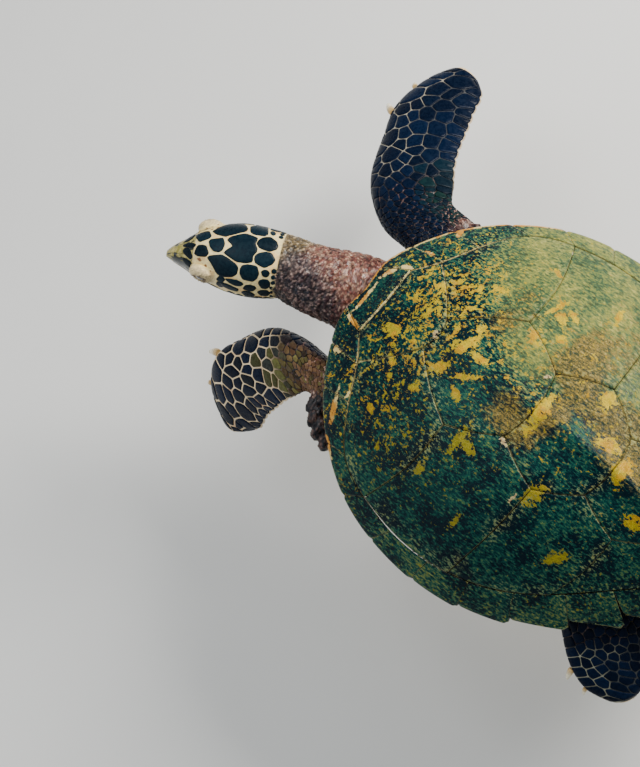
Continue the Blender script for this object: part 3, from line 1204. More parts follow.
def flipper_tint(name, wrap, middle, tone):
    """Colour of a scale from where it lies: dark above, olive on the left arm, pale below."""
    share = middle[0] / wrap.length
    side = middle[1] / wrap.reach_at(middle[0])
    tint = SCALE_DARK * (0.70 + 0.8 * tone)
    if side < -0.10:
        tip = smooth_step(0.55, 0.95, share + 0.25 * (tone - 0.5))
        edge = smooth_step(-0.30, -0.10, side) + smooth_step(-0.75, -0.95, side)
        dark = np.clip(tip + edge + (tone > 0.80), 0, 1)
        return over(SCALE_PALE * (0.8 + 0.3 * tone), SCALE_DARK * 1.6, dark)
    if name == "front_left":
        warm = smooth_step(0.58, 0.42, share + 0.20 * (tone - 0.5)) * smooth_step(0.20, 0.50, side)
        warm *= 0.35 + 0.65 * smooth_step(0.20, 0.45, (tone * 7.0) % 1)
        tint = over(tint, SCALE_GREEN * (0.45 + tone), warm)
        brown = smooth_step(0.42, 0.30, share + 0.08 * (tone - 0.5)) * smooth_step(0.12, 0.40, side)
        brown *= 0.30 + 0.70 * smooth_step(0.15, 0.40, (tone * 5.0) % 1)
        tint = over(tint, SCALE_BROWN * (0.5 + 1.1 * tone), brown)
    elif name == "front_right":
        green = smooth_step(0.56, 0.46, share) * smooth_step(0.55, 0.75, side) * tone
        tint = over(tint, SCALE_TEAL, green)
        warm = smooth_step(0.20, 0.14, share) * smooth_step(0.55, 0.90, side)
        tint = over(tint, SCALE_RUSSET, warm)
    return tint


def edge_rows(wrap, face):
    """Seeds and sizes of the large scales along both edges and round the tip of one face."""
    lead, trail = LEAD_SPACING[wrap.kind], TRAIL_SPACING[wrap.kind]
    rows = np.arange(0.41 * wrap.length, wrap.length - lead * 0.8, lead)
    grow = smooth_step(0.36, 0.52, rows / wrap.length)
    seeds = [(x, face * lead * (0.46 + 0.20 * g)) for x, g in zip(rows, grow)]
    sizes = [lead * (0.95 + 0.35 * g) for g in grow]
    steps = np.arange(TRAIL_START[wrap.kind] * wrap.length + trail / 2, wrap.length * 0.93, trail)
    seeds += [(x, face * (wrap.reach_at(x) - trail * 0.40)) for x in steps]
    sizes += [trail * 1.05] * len(steps)
    tip = wrap.length - lead
    seeds += [(tip, face * wrap.reach_at(tip) * share) for share in (0.42, 0.86)]
    return seeds, sizes + [lead * 1.15] * 2


SCATTER_TRIES = 12000
EVENING_ROUNDS = 3          # rounds in which loose seeds move to the middle of their cells
LARGE_SCALE = 0.015         # from these sizes up a scale gets more corners and stands out more
MIDDLE_SCALE = 0.009
LEAST_CELL = 0.0015         # narrower cells stay bare


def build_flipper_scales(name, seed):
    """Scales over both sides of a flipper: large rows along its edges and tip, small at its root."""
    wrap = WRAPS[name]
    knots, middle_sizes = np.array(FRONT_SIZES if wrap.kind == "front" else HIND_SIZES).T
    first = FIRST_SCALE[wrap.kind] * wrap.length
    rng = np.random.default_rng(seed)

    def size_at(points):
        return np.interp(points[:, 0] / wrap.length, knots, middle_sizes)

    def draw(rng, count):
        x = first + (wrap.length - first) * rng.random(count)
        return np.column_stack([x, (rng.random(count) * 2 - 1) * wrap.reach_at(x)])

    def fence(points, face):
        """Keeps a cell off the flipper's root, its trailing edge and the bare rim at its tip."""
        x = np.clip(points[:, 0], first, wrap.length - BARE_RIM)
        bare = BARE_FROM[name]
        least = BARE_RIM * smooth_step(bare - 0.03, bare + 0.02, x / wrap.length)
        y = face * points[:, 1]
        y = np.where(least > 1e-5, np.maximum(y, least), y)
        return np.column_stack([x, face * np.minimum(y, wrap.reach_at(x) * 0.985)])

    pinned, sizes = edge_rows(wrap, -1)
    if name in UPPER_SCALES:
        for share, side, size in UPPER_SCALES[name]:
            x = share * wrap.length
            pinned.append((x, side * wrap.reach_at(x)))
            sizes.append(size * 0.001)
    else:
        upper, upper_sizes = edge_rows(wrap, 1)
        pinned, sizes = pinned + upper, sizes + upper_sizes
    seeds, sizes = scattered(size_at, draw, rng, pinned, sizes, SCATTER_TRIES)
    for _ in range(EVENING_ROUNDS):
        cells = cells_of(seeds, sizes, fence)
        for k in range(len(pinned), len(seeds)):
            if len(cells[k]):
                seeds[k] = seeds[k] * 0.35 + cells[k].mean(axis=0) * 0.65
    tones = rng.random(len(seeds))
    batch = Batch()
    uv_scale = (np.array([0.9 / wrap.length, 0.44 / wrap.reach.max()]), np.array([0.05, 0.5]))
    for cell, size, tone in zip(cells_of(seeds, sizes, fence), sizes, tones):
        if len(cell) < 8 or np.ptp(cell, axis=0).min() < LEAST_CELL:
            continue
        count = 40 if size > LARGE_SCALE else 26 if size > MIDDLE_SCALE else 16
        narrow = min(SEAM_WIDTH[name], size * 0.20)
        outline = shrunk(rounded(resample_loop(cell, 24), count, 0.35), narrow / 2)
        height = 0.0011 if size > MIDDLE_SCALE else 0.0008
        tint = flipper_tint(name, wrap, cell.mean(axis=0), tone)
        add_plate(batch, outline, height, wrap.at, tint, uv_scale)
    batch.build("scales_" + name, SCALE)


def build_claws():
    """Curved claws on the leading edges, two on each flipper."""
    for name, wrap in WRAPS.items():
        kind, side = name.split("_")
        claws = FRONT_CLAWS if kind == "front" else HIND_CLAWS
        for number, (place, length, thick) in enumerate(claws, 1):
            thick, length = thick * CLAW_STOUT, length * CLAW_LONG
            x = np.interp(place, wrap.share, wrap.run)
            places = np.array([(x, 0.0), (x + 0.004, 0.0), (x, 0.03)])
            root, ahead, inner = wrap.at(places, 0.0)
            outward, tipward = unit(root - inner), unit(ahead - root)
            up = np.cross(outward, tipward)
            axis = unit(outward * CLAW_SPREAD + tipward * (1 - CLAW_SPREAD))
            across = np.cross(axis, up)
            turn = full_turn(CLAW_AROUND)
            rings = []
            for share in CLAW_STATIONS:
                centre = root + outward * thick * 0.45 + axis * length * share
                centre = centre - outward * length * CLAW_CURL * max(share, 0) ** 2
                size = thick * np.sqrt(max(1 - max(share, 0.0) ** 1.5, 0.0))
                size *= 0.92 + 0.08 * (share > 0)
                ring = np.outer(np.cos(turn), across) + np.outer(np.sin(turn), up) * CLAW_FLATNESS
                rings.append(centre + ring * size)
            tint = over(CLAW_ROOT, CLAW_TIP, smooth_step(0.0, 0.55, CLAW_STATIONS))
            batch = Batch()
            batch.add(rings, [grid_faces(len(rings), CLAW_AROUND, wrap=True)],
                      tint=np.repeat(tint, CLAW_AROUND, axis=0))
            for ring, flip in ((rings[0], False), (rings[-1], True)):
                cap = np.vstack([ring, ring.mean(axis=0)])
                batch.add(cap, [fan(CLAW_AROUND, CLAW_AROUND, flip=flip)],
                          tint=(CLAW_TIP if flip else CLAW_ROOT)[None])
            batch.build(f"claw_{name}_{number}", CLAW, (f"{kind}_claw_{side}_{number}",))


# ---- head -----------------------------------------------------------------------------------
HEAD_BACK = (0.0400, -0.1175, 0.022)
HEAD_YAW = 31.0
HEAD_PITCH = 8.0
HEAD_ROLL = 5.0
HEAD_LENGTH = 0.157
HEAD_STATIONS = ((0.000, 0.0430, 0.041, -0.043), (0.025, 0.0465, 0.044, -0.046),
                 (0.050, 0.0475, 0.045, -0.044), (0.075, 0.0440, 0.043, -0.039),
                 (0.098, 0.0370, 0.036, -0.033), (0.116, 0.0290, 0.026, -0.030),
                 (0.133, 0.0195, 0.012, -0.0265), (0.147, 0.0115, -0.002, -0.0235),
                 (0.157, 0.0045, -0.015, -0.0215))
BEAK_START = 0.119
MOUTH_LEVEL = -0.0185
EYE_PLACE = (0.101, 0.0290, 0.0110)
NECK_STATIONS = (((0.000, 0.070, -0.018), 0.058, 0.038), ((0.000, 0.020, -0.013), 0.060, 0.041),
                 ((0.006, -0.020, -0.005), 0.056, 0.042), ((0.020, -0.055, 0.005), 0.0500, 0.043),
                 ((0.032, -0.088, 0.014), 0.0460, 0.043))
TAIL_STATIONS = (
    (0.530, -0.034, 0.026), (0.575, -0.031, 0.020), (0.615, -0.031, 0.013), (0.642, -0.034, 0.007),
)
TAIL_TIP = (0.0, 0.653, -0.037)
HEAD_GIRTH = 0.045          # metres for each radian of turn, near enough, to lay out the scales
EYEBALL = 0.0121            # radius of the visible eyeball
LID = 0.0160                # the lids' radius about the middle of the eye
LID_LONG = 0.16             # how much longer they are along the head than across
LID_REAR = 0.10             # and how much further they reach back than forward
LID_BROW = 0.0016           # how much more the upper lid stands out
LID_BLEND = 0.0080          # width over which the lids run out into the head
LID_FOLDS = ((0.16, 0.00070), (0.30, 0.00090), (0.46, 0.00085), (0.66, 0.00065), (0.90, 0.00050))
LID_SLANT = (0.93, 0.0, -0.36)  # the opening between the lids runs this way
GAZE = (0.28, 0.95, 0.06)   # the left eye looks this way in the head's frame


def head_frame():
    """Matrix from head coordinates (forward, left, up) to the shell's frame."""
    yaw, pitch = radians(HEAD_YAW), radians(HEAD_PITCH)
    forward = Vector((sin(yaw) * cos(pitch), -cos(yaw) * cos(pitch), sin(pitch)))
    level_left = Vector((cos(yaw), sin(yaw), 0.0))
    level_up = forward.cross(level_left)
    roll = radians(HEAD_ROLL)
    left = level_left * cos(roll) + level_up * sin(roll)
    up = level_up * cos(roll) - level_left * sin(roll)
    return np.array([forward, left, up]).T


HEAD_MATRIX = head_frame()


def head_to_shell(points):
    """From head coordinates to the shell's frame."""
    return np.asarray(points, float) @ HEAD_MATRIX.T + HEAD_BACK


def head_sizes(forward):
    """Half width, top, bottom and the level between, at distances forward."""
    stations = np.array(HEAD_STATIONS)
    half, top, bottom = spline(stations[:, 0], stations[:, 1:], forward).T
    return half, top, bottom, top * 0.45 + bottom * 0.55


def head_local(forward, turn, inset=SKIN_DEPTH):
    """Head coordinates of the skin; turn is 0 on the left, a quarter on top and a half on the right."""
    half, top, bottom, middle = head_sizes(forward)
    c, s = np.cos(turn), np.sin(turn)
    squareness = 2 / 2.3
    y = (half - inset) * np.sign(c) * np.abs(c) ** squareness
    reach = np.where(s > 0, top - middle, middle - bottom) - inset
    return np.column_stack([forward, y, middle + np.sign(s) * reach * np.abs(s) ** squareness])


def mouth_turn(forward):
    """The turn, below the left side, at which the mouth's line runs."""
    _, _, bottom, middle = head_sizes(np.asarray(forward, float))
    level = MOUTH_LEVEL - 0.0045 * smooth_step(0.075, 0.045, forward)
    return -np.arcsin(np.clip((middle - level) / (middle - bottom), 0, 0.99) ** (2.3 / 2))


def eye_axis(side):
    """The eye's middle and the way it looks, in head coordinates; side is 1 on the left."""
    return np.array(EYE_PLACE) * (1, side, 1), unit(np.array(GAZE) * (1, side, 1))


def eye_view(points, side):
    """For head coordinates: distance from the eye's middle, direction, and place on the lids."""
    middle, gaze = eye_axis(side)
    distance = np.linalg.norm(points - middle, axis=1)
    direction = (points - middle) / (distance[:, None] + 1e-9)
    along = np.array(LID_SLANT)
    along = unit(along - gaze * (along @ gaze))
    upward = np.cross(gaze, along) * side
    upward *= np.sign(upward[2])
    out = direction @ gaze
    safe = np.maximum(out, 0.15)
    return distance, direction, out, (direction @ along) / safe, (direction @ upward) / safe


def lid_gap(u, v):
    """Below 0 inside the opening between the lids, in eye radii; a slanted almond."""
    half = 0.66 * (1 - np.clip(np.abs(u) / 1.05, 0, 1) ** 1.7) * (1 - 0.10 * u)
    return np.abs(v + 0.08) - half + 0.45 * np.clip(np.abs(u) - 1.0, 0, 1)


def with_lids(points):
    """Head coordinates pushed out over the eyes by the lids, and in behind the lids' opening."""
    points = points.copy()
    for side in (1, -1):
        distance, direction, out, u, v = eye_view(points, side)
        near = (out > 0.0) & (distance < 0.034)
        gap = lid_gap(u, v)
        brow = LID_BROW * smooth_step(0.10, 0.70, v) + 0.0005 * np.exp(-((gap - 0.06) / 0.04) ** 2)
        folds = sum(depth * np.exp(-((gap - middle) / 0.035) ** 2) for middle, depth in LID_FOLDS)
        ahead = direction[:, 0]
        lid = LID * (1 + LID_LONG * ahead ** 2 - LID_REAR * ahead)
        lid += (brow - folds) * smooth_step(0.1, 0.4, out)
        share = np.clip(0.5 + 0.5 * (distance - lid) / LID_BLEND, 0, 1)
        merged = lid + (distance - lid) * share + LID_BLEND * share * (1 - share)
        inside = smooth_step(0.030, -0.040, gap) * (out > 0.3)
        radius_here = merged * (1 - inside) + (EYEBALL - 0.0030) * inside
        pushed = eye_axis(side)[0] + direction * radius_here[:, None]
        points = np.where(near[:, None], pushed, points)
    return points


def skin_edge(turn):
    """How far forward the head's skin reaches; on top it runs out over the root of the beak."""
    return 0.1205 + 0.0160 * smooth_step(0.62, 0.96, np.sin(turn - 0.10))


def head_at(plan, lift):
    """Points at places (forward, turn * HEAD_GIRTH) on the head, lids included, raised by lift."""
    forward, turn = plan[:, 0], plan[:, 1] / HEAD_GIRTH
    step = 0.0006
    here = with_lids(head_local(forward, turn))
    ahead = with_lids(head_local(forward + step, turn)) - here
    aside = with_lids(head_local(forward, turn + step / HEAD_GIRTH)) - here
    normal = unit(np.cross(aside, ahead), 1e-12)
    return head_to_shell(here + normal * np.reshape(lift, (-1, 1)))


# corners of the head's scales: forward in mm and turn in degrees
HEAD_SCALES = {
    "frontoparietal": ((71, 97), (67, 102), (58, 107), (49, 111), (38, 108), (32, 106), (34, 95),
                       (29, 88), (34, 79), (33, 70), (42, 67), (54, 67), (68, 75), (72, 78),
                       (68, 83), (61, 89), (66, 93)),
    "frontal": ((96, 94), (94, 97), (86, 98), (78, 99), (74, 90), (76, 81), (80, 78), (87, 79),
                (92, 85)),
    "left_prefrontal": ((114, 69), (113, 79), (111, 88), (104, 88), (99, 86), (94, 73), (97, 66),
                        (109, 64)),
    "right_prefrontal": ((117, 113), (116, 125), (108, 126), (101, 123), (95, 104), (98, 100),
                         (110, 95)),
    "left_supraocular": ((94, 64), (91, 68), (75, 73), (68, 70), (55, 62), (51, 57), (52, 45),
                         (58, 38), (66, 35), (73, 32), (79, 36), (83, 45), (88, 55)),
    "right_supraocular": ((95, 119), (90, 127), (83, 138), (75, 146), (64, 149), (56, 143),
                          (49, 125), (50, 117), (63, 109), (75, 103), (87, 108)),
    "left_parietal": ((30, 74), (30, 80), (26, 84), (18, 87), (10, 87), (4, 78), (7, 71), (16, 63),
                      (28, 69)),
    "right_parietal": ((31, 97), (29, 104), (24, 110), (16, 114), (7, 107), (4, 99), (5, 94),
                       (13, 90), (27, 92)),
    "left_temporal": ((47, 47), (47, 55), (45, 61), (38, 64), (26, 63), (23, 51), (25, 42),
                      (30, 35), (43, 37)),
    "right_temporal": ((46, 134), (42, 143), (33, 150), (25, 146), (21, 120), (24, 114), (38, 113),
                       (43, 117)),
    "left_nape": ((19, 55), (16, 58), (12, 58), (9, 54), (10, 49), (13, 46), (17, 48)),
    "right_nape": ((18, 130), (16, 135), (12, 130), (12, 124), (14, 121), (17, 124)),
    "left_tympanic": ((22, 32), (21, 37), (17, 40), (11, 40), (8, 35), (8, 26), (13, 20), (18, 21)),
    "right_tympanic": ((20, 146), (19, 140), (12, 139), (7, 145), (8, 155), (14, 159), (20, 155)),
    "left_cheek_1": ((67, 29), (60, 31), (51, 32), (45, 29), (43, 26), (47, 21), (54, 20),
                     (61, 23)),
    "left_cheek_2": ((43, 15), (39, 24), (33, 26), (28, 24), (26, 20), (30, 13), (35, 11)),
    "left_cheek_3": ((74, 17), (66, 17), (58, 15), (50, 11), (52, 4), (64, 4), (73, 8)),
    "left_cheek_4": ((46, 4), (41, 9), (33, 7), (29, 1), (33, -6), (42, -5)),
    "left_cheek_5": ((24, 10), (19, 15), (11, 15), (8, 7), (12, 0), (21, 1)),
    "right_cheek_1": ((68, 152), (59, 153), (50, 151), (45, 154), (46, 160), (55, 162), (65, 160)),
    "right_cheek_2": ((42, 154), (36, 156), (27, 153), (24, 160), (30, 168), (38, 167)),
    "right_cheek_3": ((74, 164), (65, 165), (55, 166), (50, 171), (54, 177), (66, 176), (73, 172)),
    "right_cheek_4": ((45, 172), (39, 172), (31, 174), (29, 181), (35, 187), (44, 184)),
    "right_cheek_5": ((22, 164), (16, 163), (9, 167), (9, 176), (15, 182), (22, 178)),
    "left_lore": ((133, 79), (131, 88), (126, 86), (121, 76), (117, 60), (119, 50), (124, 56),
                  (130, 66)),
    "middle_lore": ((135, 99), (127, 101), (118, 93), (115, 90), (118, 84), (125, 88), (133, 92)),
    "right_lore": ((136, 112), (131, 128), (123, 140), (120, 124), (122, 112), (128, 107)),
    "left_postocular_1": ((80, 20), (75, 31), (70, 31), (68, 27), (71, 20), (76, 17)),
    "left_postocular_2": ((81, 4), (79, 14), (75, 16), (72, 12), (73, 3), (77, 0)),
    "left_suborbital": ((97, -16), (92, -11), (85, -9), (80, -12), (83, -15), (91, -18)),
    "right_postocular_1": ((80, 160), (75, 149), (70, 149), (69, 153), (71, 160), (76, 163)),
    "right_postocular_2": ((81, 176), (79, 166), (75, 164), (72, 168), (73, 177), (77, 180)),
    "right_suborbital": ((97, 196), (92, 191), (85, 189), (80, 192), (83, 195), (91, 198)),
    "left_snout": ((118, 44), (124, 48), (131, 52), (132, 40), (125, 24), (120, 20)),
    "right_snout": ((119, 138), (125, 134), (131, 130), (131, 142), (125, 157), (119, 161)),
}
SIDE_ROWS = (
    (62, -10, 7), (50, -12, 7), (38, -14, 7), (26, -11, 7), (14, -12, 6), (6, -2, 5), (55, -24, 6),
    (43, -27, 6), (31, -26, 6), (20, -24, 6), (9, -22, 5), (48, -38, 5), (36, -40, 5), (25, -38, 5),
    (14, -36, 5), (5, 10, 4), (4, 22, 4), (3, 34, 4), (3, 46, 4), (3, 58, 4),
)
HEAD_DARK = np.array([0.0030, 0.0105, 0.0180])
SCALE_SPREAD = 0.0011       # the plates are this much larger all round than their corners say
BILL_REACH = 0.0035         # the bill runs on this far past the solid beak


def build_head_scales():
    """Dark plates parted by wide cream seams: named ones on top, smaller ones down the cheeks."""
    batch = Batch()
    uv_scale = (np.array([5.0, 0.9 / (2 * pi * HEAD_GIRTH)]), np.array([0.05, 0.30]))
    outlines = list(HEAD_SCALES.values())
    for forward, turn, size in SIDE_ROWS:
        for side in (1, -1):
            middle = turn if side > 0 else 180 - turn
            stretch = 1.15 + 0.25 * sin(forward * 1.7 + side)
            corners = [(forward + size * 0.64 * stretch * cos(a), middle + size * 0.95 * sin(a))
                       for a in np.arange(6) * pi / 3 + 0.3]
            outlines.append(corners)
    for k, corners in enumerate(outlines):
        plan = np.array(corners) * (0.001, pi / 180 * HEAD_GIRTH)
        large = np.ptp(plan[:, 0]) > 0.012
        outline = shrunk(rounded(plan, 56 if large else 24, 0.42), -SCALE_SPREAD)
        tone = 0.8 + 0.5 * (sin(k * 2.4) * 0.5 + 0.5)
        forward = plan[:, 0].mean()
        tint = HEAD_DARK * tone if forward < 0.115 else HEAD_DARK * 0.7
        add_plate(batch, outline, 0.0010 if large else 0.0007, head_at, tint, uv_scale)
    batch.build("scales_head", SCALE)


def build_eyes():
    """A ball for each eye, with the cornea bulging a little."""
    rings, columns = 40, 48
    tilt = np.linspace(0.0, pi, rings)[:, None]
    turn = full_turn(columns)[None]
    for side_name, side in (("left", 1), ("right", -1)):
        middle, gaze = eye_axis(side)
        across = unit(np.cross(gaze, (0, 0, 1)))
        up = np.cross(across, gaze)
        direction = (np.cos(tilt)[..., None] * gaze + (np.sin(tilt) * np.cos(turn))[..., None] * across
                     + (np.sin(tilt) * np.sin(turn))[..., None] * up)
        bulge = 1 + 0.035 * np.exp(-(tilt / 0.5) ** 2)
        points = middle + direction * (EYEBALL * bulge)[..., None]
        batch = Batch()
        ring = np.repeat(np.sin(np.minimum(tilt, pi / 2)), columns)
        batch.add(head_to_shell(points), [grid_faces(rings, columns, wrap=True)], ring=ring)
        batch.build("eyeball_" + side_name, EYE, ("eye_" + side_name,))


BILL_AROUND = 112           # points round the bills
BILL_ROOT = 0.0022          # the bills start this far back under the skin
NOSTRIL_FORWARD = 0.1435
NOSTRIL_TURNS = (62, 118)   # in degrees
SHEATH_AROUND = 96


def bill_ring(forward, turn, upper):
    """One ring of the upper or lower bill, and how dark the horn is round it."""
    ring = head_local(np.full(len(turn), forward), turn, 0.0)
    ring[:, 0] += BILL_REACH * smooth_step(0.130, HEAD_LENGTH, forward)
    if not upper:
        ring[:, 1] *= 0.95
        ring[:, 2] = np.minimum(ring[:, 2], MOUTH_LEVEL - 0.0001)
        return ring, np.zeros(len(turn))
    hook = 0.0050 * float(smooth_step(0.138, HEAD_LENGTH, forward)) ** 1.5
    ring[:, 2] = np.maximum(ring[:, 2], MOUTH_LEVEL + 0.0001 - hook)
    pit = sum(np.exp(-((turn - radians(degrees)) / 0.13) ** 2) for degrees in NOSTRIL_TURNS)
    pit = pit * np.exp(-((forward - NOSTRIL_FORWARD) / 0.0016) ** 2)
    ring[:, 2] -= 0.0016 * pit
    aside = np.abs(np.cos(turn))
    sides = smooth_step(0.55, 0.95, aside) * smooth_step(0.152, 0.140, forward)
    ridge = smooth_step(0.30, 0.12, aside) * smooth_step(0.126, 0.134, forward)
    return ring, 0.12 + pit + 0.42 * sides - 0.35 * ridge


def build_bill(name, last, rows):
    """The upper or lower bill from its root to its tip."""
    turn = full_turn(BILL_AROUND)
    places = BEAK_START - BILL_ROOT + (last - BEAK_START + BILL_ROOT) * np.linspace(0, 1, rows) ** 0.85
    rings, shades = zip(*(bill_ring(forward, turn, name == "upper") for forward in places))
    points = np.array(rings)
    streak = np.column_stack([points[..., 0].ravel() * 60, np.tile(turn, rows) * 4.5,
                              np.zeros(BILL_AROUND * rows)])
    batch = Batch()
    batch.add(head_to_shell(points), [grid_faces(rows, BILL_AROUND, wrap=True)],
              streak=streak, shade=np.ravel(shades))
    tip = np.vstack([points[-1], points[-1].mean(axis=0) + (0.0006, 0, 0)])
    batch.add(head_to_shell(tip), [fan(BILL_AROUND, BILL_AROUND)], streak=np.zeros((1, 3)), shade=0.0)
    batch.build(name + "_bill", BEAK, (name + "_beak",))


def add_sheath(batch, side, upper):
    """The sheath along one jaw, from the bill back to a point below the eye."""
    end, depth, way = (0.064, 0.0095, 1) if upper else (0.076, 0.0080, -1)
    forward = np.linspace(BEAK_START + 0.0010, end, 26)
    reach = depth * np.sqrt(np.clip((forward - end) / 0.022, 0, 1)) + 0.0004
    near = mouth_turn(forward) + way * 0.0005 / HEAD_GIRTH
    far = near + way * reach / HEAD_GIRTH * 1.15
    loop = np.vstack([np.column_stack([forward, near * HEAD_GIRTH]),
                      np.column_stack([forward, far * HEAD_GIRTH])[::-1]])
    along = BEAK_START * 0.6 + end * 0.4
    level = (near + far) / 2 * HEAD_GIRTH
    centre = np.array([along, np.interp(along, forward[::-1], level[::-1])])
    if side < 0:
        loop[:, 1] = pi * HEAD_GIRTH - loop[:, 1]
        centre[1] = pi * HEAD_GIRTH - centre[1]
    plan, _ = plate_layers(turned(resample_loop(loop, SHEATH_AROUND)), centre, PLATE_SHARES)
    streak = np.column_stack([plan[:, 0] * 75, plan[:, 1] / HEAD_GIRTH * 3.0, np.full(len(plan), side)])
    batch.add(head_at(plan, plate_lifts(PLATE_LIFTS, SHEATH_AROUND, 0.0010)),
              web(SHEATH_AROUND, len(PLATE_SHARES)), streak=streak, shade=0.02)


def build_beak():
    """Upper bill with a hooked tip over a shorter lower one, and the sheaths along the jaws."""
    build_bill("upper", HEAD_LENGTH, 60)
    build_bill("lower", 0.1475, 48)
    batch = Batch()
    for side in (1, -1):
        for upper in (True, False):
            add_sheath(batch, side, upper)
    batch.build("jaw_sheaths", BEAK)


# ---- skin -----------------------------------------------------------------------------------
GRANULE = 0.0038            # size of the neck's granular scales
WRINKLE = 0.0125            # size of the folds between groups of them
SKIN_GRID = 0.0019          # distance between the points of the body's skin
# four shades of the granules, dark to light
HIDE = {
    "neck": ((0.070, 0.022, 0.018), (0.230, 0.070, 0.056), (0.400, 0.160, 0.115),
             (0.540, 0.320, 0.220)),
    "nape": ((0.060, 0.042, 0.018), (0.190, 0.130, 0.055), (0.330, 0.235, 0.110),
             (0.500, 0.380, 0.210)),
    "navy": ((0.005, 0.006, 0.013), (0.013, 0.013, 0.028), (0.050, 0.034, 0.045),
             (0.270, 0.190, 0.180)),
    "limb": ((0.002, 0.004, 0.010), (0.005, 0.008, 0.019), (0.022, 0.015, 0.022),
             (0.180, 0.100, 0.085)),
    "fold": ((0.050, 0.014, 0.014), (0.150, 0.045, 0.036), (0.380, 0.150, 0.110),
             (0.720, 0.470, 0.360)),
    "below": ((0.360, 0.260, 0.130), (0.500, 0.390, 0.210), (0.600, 0.500, 0.300),
              (0.660, 0.570, 0.400)),
}
HEAD_CREAM = np.array([0.98, 0.80, 0.38])
HEAD_ORANGE = np.array([0.84, 0.46, 0.14])
THROAT_CREAM = np.array([0.66, 0.56, 0.33])
LID_CREAM = np.array([0.98, 0.80, 0.45])
SPOT_BROWN = np.array([0.22, 0.085, 0.030])
CREASE_BROWN = np.array([0.115, 0.075, 0.045])
# folds of loose skin behind the arms: centre and half sizes
SKIN_FOLDS = (
    ((0.150, 0.030, -0.018), (0.020, 0.010, 0.012)), ((0.163, 0.043, -0.019), (0.021, 0.009, 0.012)),
    ((0.174, 0.058, -0.022), (0.020, 0.010, 0.012)), ((0.183, 0.075, -0.025), (0.015, 0.010, 0.011)),
    ((0.150, 0.068, -0.044), (0.022, 0.018, 0.016)),
    ((-0.150, 0.030, -0.010), (0.016, 0.009, 0.009)), ((-0.156, 0.046, -0.014), (0.015, 0.009, 0.009)),
    ((-0.165, 0.066, -0.034), (0.022, 0.018, 0.018)), ((0.112, 0.500, -0.034), (0.016, 0.011, 0.010)),
    ((-0.112, 0.500, -0.034), (0.016, 0.011, 0.010)),
)
# where the hide is pink and brown between dark limbs: middle and half sizes
WARM_FOLDS = (((-0.170, 0.022, -0.010), (0.030, 0.026, 0.030)),
              ((0.128, 0.012, -0.004), (0.036, 0.018, 0.030)))


def hide(points):
    """Relief of wrinkled, granular hide in metres, with its grooves (0) and each granule's tone."""
    loose = np.column_stack([drift(points, 0.016, salt) for salt in (3, 4, 5)])
    warped = (points + 0.0022 * loose) * (1.0, 1.40, 1.0)
    first, second, tone = worley(warped, GRANULE)
    granule = smooth_step(0.0, 0.45, second - first)
    fold_first, fold_second, _ = worley(warped, WRINKLE, 7)
    fold = smooth_step(0.0, 0.32, fold_second - fold_first)
    relief = 0.00080 * granule + 0.00120 * fold - 0.00130
    return relief, granule * (0.35 + 0.65 * fold), tone


def neck_folds(points):
    """Soft folds that ring the neck and the roots of the arms."""
    x, y = points[:, 0], points[:, 1]
    along = (-y * 0.93 + x * 0.35) / 0.0135 + 0.9 * drift(points, 0.045, 11)
    strength = smooth_step(-0.112, -0.080, y) * smooth_step(0.10, 0.03, y)
    return 0.0011 * strength * (np.abs(np.sin(along * pi)) - 0.6)


def hide_tint(points, normals, groove, tone):
    """Colours of the hide: pink and brown over the neck, navy on its left, cream below."""
    x, y = points[:, 0], points[:, 1]
    patchy = drift(points, 0.022, 21)
    above = smooth_step(-0.55, 0.10, normals[:, 2] + 0.18 * patchy)
    on_neck = smooth_step(0.075, 0.060, np.abs(x)) * smooth_step(0.05, 0.01, y)
    nape = smooth_step(-0.074, -0.100, y + 0.012 * patchy) * on_neck
    left = smooth_step(-0.05, 0.55, normals[:, 0] + 0.30 * patchy) * on_neck
    left = left * smooth_step(-0.118, -0.100, y) * (1 - 0.45 * smooth_step(-0.055, -0.010, y))
    behind_arms = np.zeros(len(points))
    for place, size in WARM_FOLDS:
        gap = np.linalg.norm((points - place) / size, axis=1) + 0.35 * patchy
        behind_arms = np.maximum(behind_arms, smooth_step(1.25, 0.75, gap))
    side = smooth_step(0.010, 0.034, x - 0.13 * (y + 0.07) + 0.010 * patchy) * on_neck
    left = np.maximum(left, 0.85 * side * smooth_step(0.02, -0.03, y) * smooth_step(-0.118, -0.100, y))
    weights = {"neck": on_neck * (1 - nape) * (1 - left), "nape": nape * (1 - left), "navy": left,
               "limb": (1 - on_neck) * (1 - behind_arms), "fold": (1 - on_neck) * behind_arms}
    palette = sum(weights[name][:, None, None] * np.array(HIDE[name]) for name in weights)
    palette = over(np.array(HIDE["below"]), palette, above[:, None])
    place = np.clip(tone * 1.15 + 0.18 * patchy, 0, 0.999) * 3
    low = place.astype(int)
    rows = np.arange(len(points))
    tint = over(palette[rows, low], palette[rows, np.minimum(low + 1, 3)], place - low)
    dark = 0.22 + 0.78 * groove
    return tint * (dark * above + (0.62 + 0.38 * groove) * (1 - above))[:, None]


def closed_loft(rings, tips=None):
    """Points and faces of a closed loft; each end runs to its tip, or to the ring's middle."""
    rings = np.asarray(rings)
    rows, around = rings.shape[:2]
    tips = tips or (rings[0].mean(axis=0), rings[-1].mean(axis=0))
    count = rows * around
    ends = [fan(around, count, flip=True), fan(around, count + 1, count - around)]
    return np.vstack([rings.reshape(-1, 3), tips]), [grid_faces(rows, around, wrap=True), *ends]


def ellipsoid(centre, sizes):
    """A closed lump, cut off flat close to its poles."""
    tilt = np.linspace(0.15, pi - 0.15, 14)[:, None]
    turn = full_turn(24)[None]
    rings = np.stack([np.sin(tilt) * np.cos(turn), np.sin(tilt) * np.sin(turn),
                      np.cos(tilt) * np.ones_like(turn)], -1)
    return closed_loft(rings * sizes + centre)


